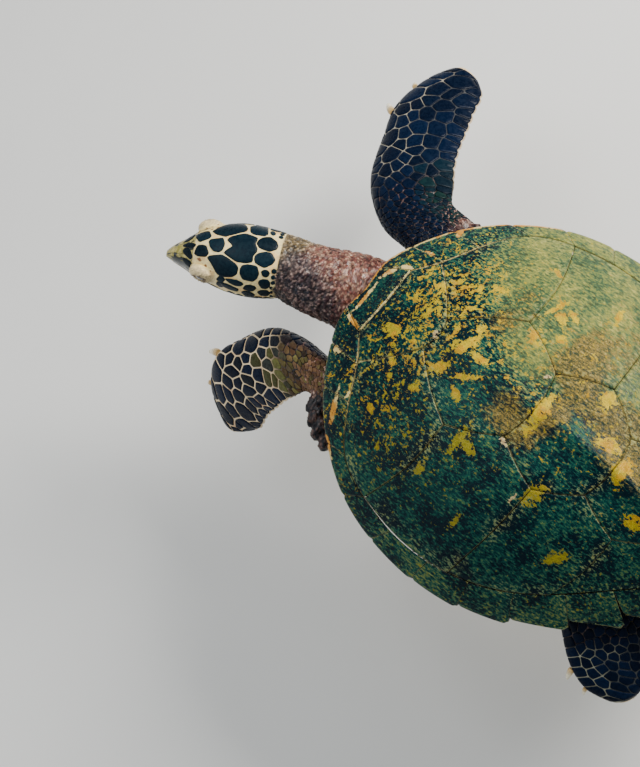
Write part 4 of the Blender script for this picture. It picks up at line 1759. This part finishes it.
def neck_frames(place):
    """Centres, half sizes, and left and up directions of the neck at station numbers place."""
    centres = np.array([row[0] for row in NECK_STATIONS] + [head_to_shell([(0.0, 0.0, 0.0)])[0]])
    sizes = np.array([row[1:] for row in NECK_STATIONS] + [(0.0430, 0.0410)])
    knots = np.arange(len(centres))
    centre, size = spline(knots, centres, place), spline(knots, sizes, place)
    ahead = spline(knots, centres, place + 0.02) - spline(knots, centres, place - 0.02)
    share = smooth_step(4.2, 5.0, place)
    ahead = over(unit(ahead), HEAD_MATRIX[:, 0], share)
    left = unit(np.cross((0, 0, 1), ahead))
    return centre, size, left, unit(np.cross(ahead, left))


def neck_surface(place, turn, inset):
    """Grid of points on the neck at station numbers place and turns round it."""
    centre, size, left, up = neck_frames(place)
    across = np.cos(turn)[None, :, None] * (size[:, 0] - inset)[:, None, None] * left[:, None]
    rise = np.sin(turn)[None, :, None] * (size[:, 1] - inset)[:, None, None] * up[:, None]
    return centre[:, None] + across + rise


def trunk_form():
    """The trunk as a closed loft: under the scutes, down the wall, and over the plastron."""
    bearing = full_turn(120)
    turn = np.column_stack([np.sin(bearing), np.cos(bearing)])
    centre = np.array([0.0, DOME_CENTRE])
    rings = []
    for share in (0.5, 0.8, 0.94):
        plan = centre + turn * (radius(BORDER_POLAR, bearing) * share)[:, None]
        rings.append(on_shell(plan, -SCUTE - TRUNK_CLEAR - 0.002))
    rings.extend(wall(bearing, np.full(len(bearing), drop)) for drop in np.linspace(0, 1, 14))
    for share in (0.97, 0.8, 0.5):
        plan = centre + turn * (radius(BELLY_POLAR, bearing) * share)[:, None]
        rings.append(np.column_stack([plan, belly(*plan.T) + BELLY_PLATE + 0.002]))
    return closed_loft(rings)


def tail_form():
    """The tail as a closed loft that ends in a point."""
    back, level, half = spline(np.arange(4), TAIL_STATIONS, np.linspace(0, 3, 16)).T
    turn = full_turn(36)
    half = half - SKIN_DEPTH
    rings = np.stack([half[:, None] * np.cos(turn), np.repeat(back[:, None], len(turn), 1),
                      level[:, None] + 0.8 * half[:, None] * np.sin(turn)], -1)
    return closed_loft(rings, (rings[0].mean(axis=0), TAIL_TIP))


# shares of a flipper's length: its root, melted into the body, ends behind the blade's start
LIMB_END = {"front": 0.37, "hind": 0.42}
BLADE_START = {"front": 0.29, "hind": 0.34}


def limb_form(name):
    """Root of a flipper as a closed loft that sinks under the blade's own skin at its end."""
    wrap = WRAPS[name]
    last = LIMB_END[wrap.kind]
    rows = np.flatnonzero(wrap.share <= last)
    sink = 0.0028 * smooth_step(last - 0.06, last - 0.01, wrap.share[rows])
    rings = wrap.grid[rows, :-1] - wrap.normal[rows, :-1] * sink[:, None, None]
    return closed_loft(rings)


def neck_form():
    """Root of the neck as a closed loft that sinks under the head's own skin at its end."""
    place = np.linspace(0, 3.1, 40)
    inset = SKIN_DEPTH + 0.0030 * smooth_step(2.62, 3.0, place)
    return closed_loft(neck_surface(place, full_turn(96), inset))


def links(faces, count):
    """Both ends of every edge of quads, in both directions, and how many meet at each point."""
    edges = np.vstack([faces[:, (k, (k + 1) % 4)] for k in range(4)])
    edges = np.unique(np.sort(edges, axis=1), axis=0)
    edges = np.vstack([edges, edges[:, ::-1]])
    return edges, np.bincount(edges[:, 0], minlength=count)[:, None]


def relaxed(points, edges, degree, rounds):
    """Points drawn halfway to the middle of their neighbours, over and over."""
    for _ in range(rounds):
        total = np.column_stack([np.bincount(edges[:, 0], points[edges[:, 1], k], len(points))
                                 for k in range(3)])
        points = points * 0.5 + total / degree * 0.5
    return points


def point_normals(points, faces):
    """Unit normals of a quad mesh's points."""
    a, b, c, d = (points[faces[:, k]] for k in range(4))
    across = np.cross(c - a, d - b)
    normal = np.column_stack([np.bincount(faces.ravel(), np.repeat(across[:, k], 4), len(points))
                              for k in range(3)])
    return unit(normal, 1e-15)


def melted_forms():
    """Points and quads of one closed skin round the trunk, limb roots, tail and neck root."""
    forms = [trunk_form(), tail_form(), neck_form()] + [limb_form(name) for name in WRAPS]
    forms += [ellipsoid(*fold) for fold in SKIN_FOLDS]
    points, faces, count = [], [], 0
    for form_points, form_faces in forms:
        points.append(form_points)
        faces += [face for group in form_faces for face in (np.asarray(group) + count).tolist()]
        count += len(form_points)
    mesh = bpy.data.meshes.new("flesh")
    mesh.from_pydata(np.vstack(points).tolist(), [], faces)
    lump = linked("flesh", mesh)
    remesh = lump.modifiers.new("melt", "REMESH")
    remesh.mode = "VOXEL"
    remesh.voxel_size = SKIN_GRID
    bpy.context.view_layer.update()
    melted = lump.evaluated_get(bpy.context.evaluated_depsgraph_get()).to_mesh()
    points = np.empty(len(melted.vertices) * 3)
    melted.vertices.foreach_get("co", points)
    points = points.reshape(-1, 3)
    corners = np.empty(len(melted.loops), int)
    melted.loops.foreach_get("vertex_index", corners)
    bpy.data.objects.remove(lump, do_unlink=True)
    bpy.data.meshes.remove(mesh)
    return points, corners.reshape(-1, 4)


def body_skin():
    """The melted body smoothed, with soft webs in its hollows, where no shell hides it."""
    points, faces = melted_forms()
    edges, degree = links(faces, len(points))
    points = relaxed(points, edges, degree, 5)
    soft = relaxed(points, edges, degree, 60)
    normal = point_normals(points, faces)
    filling = np.maximum(np.sum((soft - points) * normal, axis=1), 0)
    points = points + normal * filling[:, None]
    points = relaxed(points, edges, degree, 3)
    seen = ~hidden_flesh(points)
    faces = faces[seen[faces].any(axis=1)]
    kept = np.unique(faces)
    order = np.zeros(len(points), int)
    order[kept] = np.arange(len(kept))
    return points[kept], order[faces]


def hidden_flesh(points):
    """True for the trunk's top, under the scutes, and its underside, on the plastron."""
    x, y, z = points.T
    bearing, out = about_centre(x, y)
    under_shell = (z > dome(x, y) - SCUTE - 0.012) & (out < radius(BORDER_POLAR, bearing) * 0.97)
    on_plastron = (z < belly(x, y) + BELLY_PLATE + 0.006) & (out < radius(BELLY_POLAR, bearing) * 0.93)
    return under_shell | on_plastron


NECK_ROWS = 104
STRETCH_START = 0.098       # from here forward the head's rows stretch to reach its skin's edge
SKIN_END = 0.1205           # where that edge lies along the sides
EVENED = (NECK_ROWS - 9, NECK_ROWS + 21)    # rows evened out where the neck runs into the head


def head_skin():
    """Grid of the neck's and head's skin: points and tint, rows by columns."""
    eye_turns = np.radians(np.linspace(-28, 66, 96))
    between = np.radians(np.linspace(66, 114, 32))[1:-1]
    under = np.radians(np.linspace(208, 332, 76))[1:-1]
    turn = np.concatenate([eye_turns, between, pi - eye_turns[::-1], under])
    neck_places = np.linspace(2.2, 4.86, NECK_ROWS)
    sink = SKIN_DEPTH + 0.0026 * smooth_step(2.50, 2.25, neck_places)
    neck = neck_surface(neck_places, turn, sink)
    nominal = np.concatenate([np.linspace(0.0015, 0.080, 66), np.linspace(0.0806, SKIN_END, 64)])
    stretch = (skin_edge(turn) - STRETCH_START) / (SKIN_END - STRETCH_START)
    ahead = nominal[:, None] - STRETCH_START
    forward = np.where(ahead < 0, nominal[:, None], STRETCH_START + ahead * stretch)
    turns = np.broadcast_to(turn, forward.shape)
    local = with_lids(head_local(forward.ravel(), turns.ravel()))
    head = head_to_shell(local).reshape(*forward.shape, 3)
    grid = np.concatenate([neck, head])
    first, last = EVENED
    for _ in range(60):
        middle = (grid[first - 1:last - 1] + grid[first + 1:last + 1]) / 2
        grid[first:last] = grid[first:last] * 0.5 + middle * 0.5
    normal = unit(np.cross(np.gradient(grid, axis=1), np.gradient(grid, axis=0)), 1e-15)
    outward = grid - grid.mean(axis=1, keepdims=True)
    normal = normal * np.sign(np.sum(normal * outward, axis=-1).mean())
    shape = grid.shape
    points, normals = grid.reshape(-1, 3), normal.reshape(-1, 3)
    relief, groove, tone = hide(points)
    tint = hide_tint(points, normals, groove, tone)
    relief = relief + neck_folds(points)
    rows = np.repeat(np.concatenate([np.full(NECK_ROWS, -0.02), nominal]), len(turn))
    on_head = smooth_step(-0.004, 0.009, rows + 0.011 * drift(points, 0.012, 31))
    plain, spots = head_tint(points, rows, np.tile(turn, len(grid)))
    blank = np.zeros(NECK_ROWS * len(turn))
    lids, crease = (np.concatenate([blank, values]) for values in lid_share(local))
    first, second, lid_tone = worley(points, 0.0024, 9)
    pebble = smooth_step(0.0, 0.5, second - first)
    lid_tint = LID_CREAM * (0.72 + 0.36 * lid_tone[:, None]) * (0.70 + 0.30 * pebble[:, None])
    plain = over(over(over(plain, lid_tint, lids), SPOT_BROWN, spots), CREASE_BROWN, crease)
    tint = over(tint, plain, on_head)
    fine = 0.00018 * drift(points, 0.003, 33) + 0.00045 * lids * (pebble - 0.6)
    relief = relief * (1 - on_head) + on_head * fine
    return (points + normals * relief[:, None]).reshape(shape), tint.reshape(shape)


def lid_share(local):
    """How much of each point of the head lies on an eyelid, and how dark its creases are there."""
    share, crease = np.zeros(len(local)), np.zeros(len(local))
    for side in (1, -1):
        distance, _, out, u, v = eye_view(local, side)
        gap = lid_gap(u, v)
        on_lid = smooth_step(0.0, 0.35, out) * smooth_step(0.0240, 0.0180, distance)
        folds = sum(np.exp(-((gap - middle) / 0.030) ** 2) for middle, _ in LID_FOLDS)
        rim = smooth_step(0.075, 0.030, gap)
        share = np.maximum(share, on_lid)
        crease = np.maximum(crease, np.clip(0.55 * folds + 0.95 * rim, 0, 0.95) * on_lid)
    return share, crease


# dark spots on the lids: forward in metres, turn in degrees, size
LID_SPOTS = ((0.104, 56, 0.0026), (0.096, 45, 0.0020), (0.109, 38, 0.0011), (0.090, 35, 0.0012),
             (0.097, 128, 0.0020), (0.089, 132, 0.0024), (0.104, 140, 0.0011), (0.094, 146, 0.0012))


def head_tint(points, forward, turn):
    """The cream skin between the head's scales, and the share of the lids' dark spots."""
    warm = smooth_step(0.15, 0.75, drift(points, 0.010, 41))
    pale = HEAD_CREAM * (0.92 + 0.16 * drift(points, 0.004, 42)[:, None])
    tint = over(pale, HEAD_ORANGE, 0.55 * warm)
    tint = over(tint, THROAT_CREAM, smooth_step(-0.45, -0.9, np.sin(turn)))
    spots = np.zeros(len(points))
    for place, degrees, size in LID_SPOTS:
        gap = np.hypot(forward - place, (turn - radians(degrees)) * 0.036)
        gap += 0.0006 * drift(points, 0.0015, 43)
        spots = np.maximum(spots, smooth_step(size * 1.35, size * 0.7, gap))
    return tint, spots


SEAM_TINTS = {"front_right": (0.34, 0.31, 0.24), "front_left": (0.86, 0.68, 0.42),
              "hind_left": (0.30, 0.30, 0.22), "hind_right": (0.30, 0.30, 0.22)}
SEAM_ORANGE = np.array([0.74, 0.40, 0.20])
SEAM_BROWN_DARK = np.array([0.080, 0.050, 0.020])
SEAM_NAVY = np.array([0.010, 0.016, 0.028])
BLADE_RIM = np.array([0.80, 0.62, 0.38])
BLADE_BELOW = np.array([0.62, 0.52, 0.31])


def blade_tint(name, points, share, side):
    """Skin that shows as seams between a flipper's scales."""
    above = smooth_step(-0.12, 0.02, side)
    patchy = drift(points, 0.02, 51)
    tint = np.array(SEAM_TINTS[name]) * (1 + 0.25 * patchy)[:, None]
    if name == "front_left":
        warm = smooth_step(0.2, 0.8, drift(points, 0.014, 52))
        tint = over(tint, SEAM_ORANGE, 0.5 * warm)
        dull = smooth_step(0.50, 0.36, share) * smooth_step(0.30, 0.50, side) * 0.85
        dark = SEAM_BROWN_DARK
    else:
        dull = smooth_step(0.28, 0.60, side + 0.22 * patchy) * 0.90
        dull = np.maximum(dull, smooth_step(0.40, 0.26, share) * 0.85)
        dark = SEAM_NAVY
    tint = over(tint, dark, dull)
    rim = np.maximum(smooth_step(0.975, 0.99, share), smooth_step(0.968, 0.985, np.abs(side)) * 0.6)
    bare = smooth_step(BARE_FROM[name] - 0.04, BARE_FROM[name] + 0.01, share)
    rim = np.maximum(rim, smooth_step(0.070, 0.045, np.abs(side)) * bare)
    return over(BLADE_BELOW * (1 + 0.12 * patchy)[:, None], over(tint, BLADE_RIM, rim), above)


def build_skin():
    """The whole skin as one piece: body, neck and head, and the four blades."""
    batch = Batch()
    points, faces = body_skin()
    normals = point_normals(points, faces)
    relief, groove, tone = hide(points)
    tint = hide_tint(points, normals, groove, tone)
    batch.add(points + normals * (relief + neck_folds(points))[:, None], [faces], tint=tint)
    grid, tint = head_skin()
    batch.add(grid, [grid_faces(*grid.shape[:2], wrap=True, flip=True)], tint=tint.reshape(-1, 3))
    for name, wrap in WRAPS.items():
        start = BLADE_START[wrap.kind]
        rows = np.flatnonzero(wrap.share >= start)
        sink = 0.0026 * smooth_step(start + 0.045, start, wrap.share[rows])
        base = wrap.grid[rows]
        points, normals = base.reshape(-1, 3), wrap.normal[rows].reshape(-1, 3)
        relief, groove, tone = hide(points)
        share = np.repeat(wrap.share[rows], base.shape[1])
        side = np.tile(np.linspace(-1, 1, base.shape[1]), len(rows))
        scaled = smooth_step(start + 0.02, start + 0.14, share)
        tint = hide_tint(points, normals, groove, tone)
        tint = over(tint, blade_tint(name, points, share, side), scaled)
        lift = relief * (1 - 0.8 * scaled) - np.repeat(sink, base.shape[1])
        placed = (points + normals * lift[:, None]).reshape(base.shape)
        placed[:, -1] = placed[:, 0]
        tip = np.stack([placed[-1, wrap.half:], placed[-1, wrap.half::-1]])
        batch.add(placed, [grid_faces(*base.shape[:2], flip=True)], tint=tint)
        batch.add(tip, [grid_faces(2, wrap.half + 1)], tint=BLADE_RIM[None])
    flesh = ["trunk", "neck", "head", "tail"]
    flesh += [f"{part}_{side}" for part in ("upper_arm", "front_blade", "thigh", "hind_blade")
              for side in ("left", "right")]
    batch.build("skin", SKIN, flesh)


# ---- plastron -------------------------------------------------------------------------------
# where the seams cross the midline and meet the plastron's edge, front to back; between them lie
# the gular, humeral, pectoral, abdominal, femoral and anal scutes
BELLY_SEAMS = ((0.078, 0.078), (0.130, 0.112), (0.198, 0.186), (0.276, 0.268), (0.353, 0.358),
               (0.442, 0.462), (0.5555, 0.5555))
INTERGULAR = (0.015, 0.114)     # half width in front, and how far back its point reaches
BELLY_SHARES = np.array([1.0, 1.0, 0.988, 0.965, 0.90, 0.72, 0.50, 0.25])
BELLY_LIFTS = np.array([-0.7, 0.25, 0.75, 0.95, 1.0, 1.0, 1.02, 1.02, 1.02])
INFRAMARGINALS = 4
BRIDGE_BAND = (0.030, 0.0575)   # how far down the side the inframarginals begin and end


def add_horn_plate(batch, outline, thick, surface, number):
    """A flat-topped plate with a rounded rim and growth rings."""
    count = len(outline)
    plan, grow = plate_layers(outline, outline.mean(axis=0), BELLY_SHARES)
    lift = plate_lifts(BELLY_LIFTS, count, thick)
    lift += 0.0003 * drift(np.column_stack([plan, grow * 0.03]), 0.03, number) * (grow < 0.95)
    batch.add(surface(plan, lift), web(count, len(BELLY_SHARES)), grow=grow)


def under_belly(plan, lift):
    """Points at plan places under the plastron, pushed down and out by lift."""
    x, y = plan[:, 0], plan[:, 1]
    normal = surface_normal(belly, x, y)
    return np.column_stack([x, y, belly(x, y)]) - normal * np.reshape(lift, (-1, 1))


# metres for each radian of bearing, and for the way down to the plastron, to lay out the bridges
WALL_RADIUS, WALL_HEIGHT = 0.2, 0.06


def on_wall(plan, lift):
    """Points at places on the trunk's side, raised by lift."""
    bearing, drop = plan[:, 0] / WALL_RADIUS, plan[:, 1] / WALL_HEIGHT
    here, ahead, lower = wall(bearing, drop), wall(bearing + 0.01, drop), wall(bearing, drop + 0.02)
    normal = unit(np.cross(ahead - here, lower - here))
    normal *= np.sign(np.sum(normal * (here - (0, DOME_CENTRE, 0)), axis=1, keepdims=True))
    return here + normal * np.reshape(lift, (-1, 1))


def build_plastron():
    """Scutes under the belly in six pairs behind an intergular, and plates along the bridges."""
    batch = Batch()
    for number, (front, rear) in enumerate(zip(BELLY_SEAMS, BELLY_SEAMS[1:])):
        (mid_front, edge_front), (mid_rear, edge_rear) = front, rear
        edge_y = np.linspace(max(edge_front, 0.0795), min(edge_rear, 0.5535), 30)
        edge = np.column_stack([np.interp(edge_y, BELLY[:, 1], BELLY[:, 0]) - 0.0022, edge_y])
        inner = [(0.0, mid_front), (0.0, mid_rear)]
        if number == 0:
            inner = [(INTERGULAR[0], 0.0800), (0.0, INTERGULAR[1]), (0.0, mid_rear)]
        loop = np.vstack([inner, edge[::-1]])
        outline = shrunk(resample_loop(loop, 96), 0.0005)
        for side in (1, -1):
            plate = turned(outline * (side, 1))[::-1]
            add_horn_plate(batch, plate, 0.0011, under_belly, number * 2 + side + 3)
    half, point = INTERGULAR
    wedge = np.array([(-half, 0.0800), (0.0, 0.0788), (half, 0.0800), (0.0, point)])
    outline = shrunk(resample_loop(wedge, 48), 0.0005)
    add_horn_plate(batch, turned(outline)[::-1], 0.0011, under_belly, 30)
    batch.build("plastron_scutes", PLASTRON)
    batch = Batch()
    bearings = np.linspace(0.66, 0.37, INFRAMARGINALS + 1) * pi
    for side in (1, -1):
        for number in range(INFRAMARGINALS):
            front, rear = bearings[number:number + 2] * side * WALL_RADIUS
            top, bottom = BRIDGE_BAND
            corners = np.array([(front, top), (rear, top), (rear, bottom), (front, bottom)])
            outline = shrunk(rounded(corners, 64, 0.3), 0.0008)
            add_horn_plate(batch, turned(outline), 0.0012, on_wall, number + 40)
    batch.build("inframarginals", PLASTRON)


# ---- stand, floor, light and camera ---------------------------------------------------------
def finish_carried_nodes():
    """Materials for the CAD nodes that are shown as they are."""
    for name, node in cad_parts.items():
        for start, finish in (("stand_pad", FELT), ("stand_", STEEL), ("plastron", PLASTRON)):
            if name.startswith(start):
                for place in node.material_slots:
                    place.material = finish
                break


def build_stage():
    """A plain pale floor."""
    mesh = bpy.data.meshes.new("floor")
    mesh.from_pydata([(-4, -4, 0), (4, -4, 0), (4, 4, 0), (-4, 4, 0)], [], [(0, 1, 2, 3)])
    f = Finish("pale_floor", Roughness=0.85)
    grey = f.mix(f.noise(f.place(), 3.0), (0.72, 0.72, 0.71), (0.76, 0.76, 0.75))
    mesh.materials.append(f.finish(grey))
    linked("floor", mesh)


LIT_PLACE = (0, 0, 0.35)    # the lamps face this place
# place, size in metres, power in watts and colour
LAMPS = {
    "key": ((-1.9, 0.2, 1.9), 1.0, 110, (1.0, 0.97, 0.91)),
    "fill": ((1.8, -1.4, 1.5), 2.0, 12, (0.92, 0.97, 1.0)),
    "top": ((0.2, -1.2, 2.4), 1.4, 22, (1.0, 1.0, 1.0)),
}


def build_lights():
    """A soft key from the turtle's right, a weak fill from its left and one from above."""
    for name, (place, size, power, colour) in LAMPS.items():
        light = bpy.data.lights.new(name, "AREA")
        light.size, light.energy, light.color = size, power, colour
        lamp = linked(name, light)
        lamp.location = place
        aim = Vector(LIT_PLACE) - Vector(place)
        lamp.rotation_euler = aim.to_track_quat("-Z", "Y").to_euler()
    world = bpy.data.worlds.new("studio")
    bpy.context.scene.world = world
    world.use_nodes = True
    background = world.node_tree.nodes["Background"]
    background.inputs["Color"].default_value = (0.90, 0.95, 0.97, 1)
    background.inputs["Strength"].default_value = 0.42


CAMERA_PLACE = (0.31596, 0.93520, 2.49606)
CAMERA_BACK = (0.06976, 0.34202, 0.93710)
CAMERA_RIGHT = (-0.64466, 0.73234, -0.21930)
CAMERA_LENS = 95.04


def build_camera():
    """The photograph's viewpoint: above the tail's right, with the head to the picture's left."""
    camera = bpy.data.cameras.new("camera")
    camera.sensor_fit = "VERTICAL"
    camera.sensor_height = 36.0
    camera.lens = CAMERA_LENS
    holder = linked("camera", camera)
    back = Vector(CAMERA_BACK).normalized()
    right = Vector(CAMERA_RIGHT)
    right = (right - back * right.dot(back)).normalized()
    up = back.cross(right)
    place = to_world([CAMERA_PLACE])[0]
    rows = [(right[i], up[i], back[i], place[i]) for i in range(3)]
    holder.matrix_world = Matrix(rows + [(0, 0, 0, 1)])
    bpy.context.scene.camera = holder


build_scutes()
build_marginals("left", 1)
build_marginals("right", -1)
build_plastron()
build_skin()
for seed, flipper in enumerate(WRAPS, 11):
    build_flipper_scales(flipper, seed)
build_claws()
build_head_scales()
build_eyes()
build_beak()
finish_carried_nodes()
build_stage()
build_lights()
build_camera()
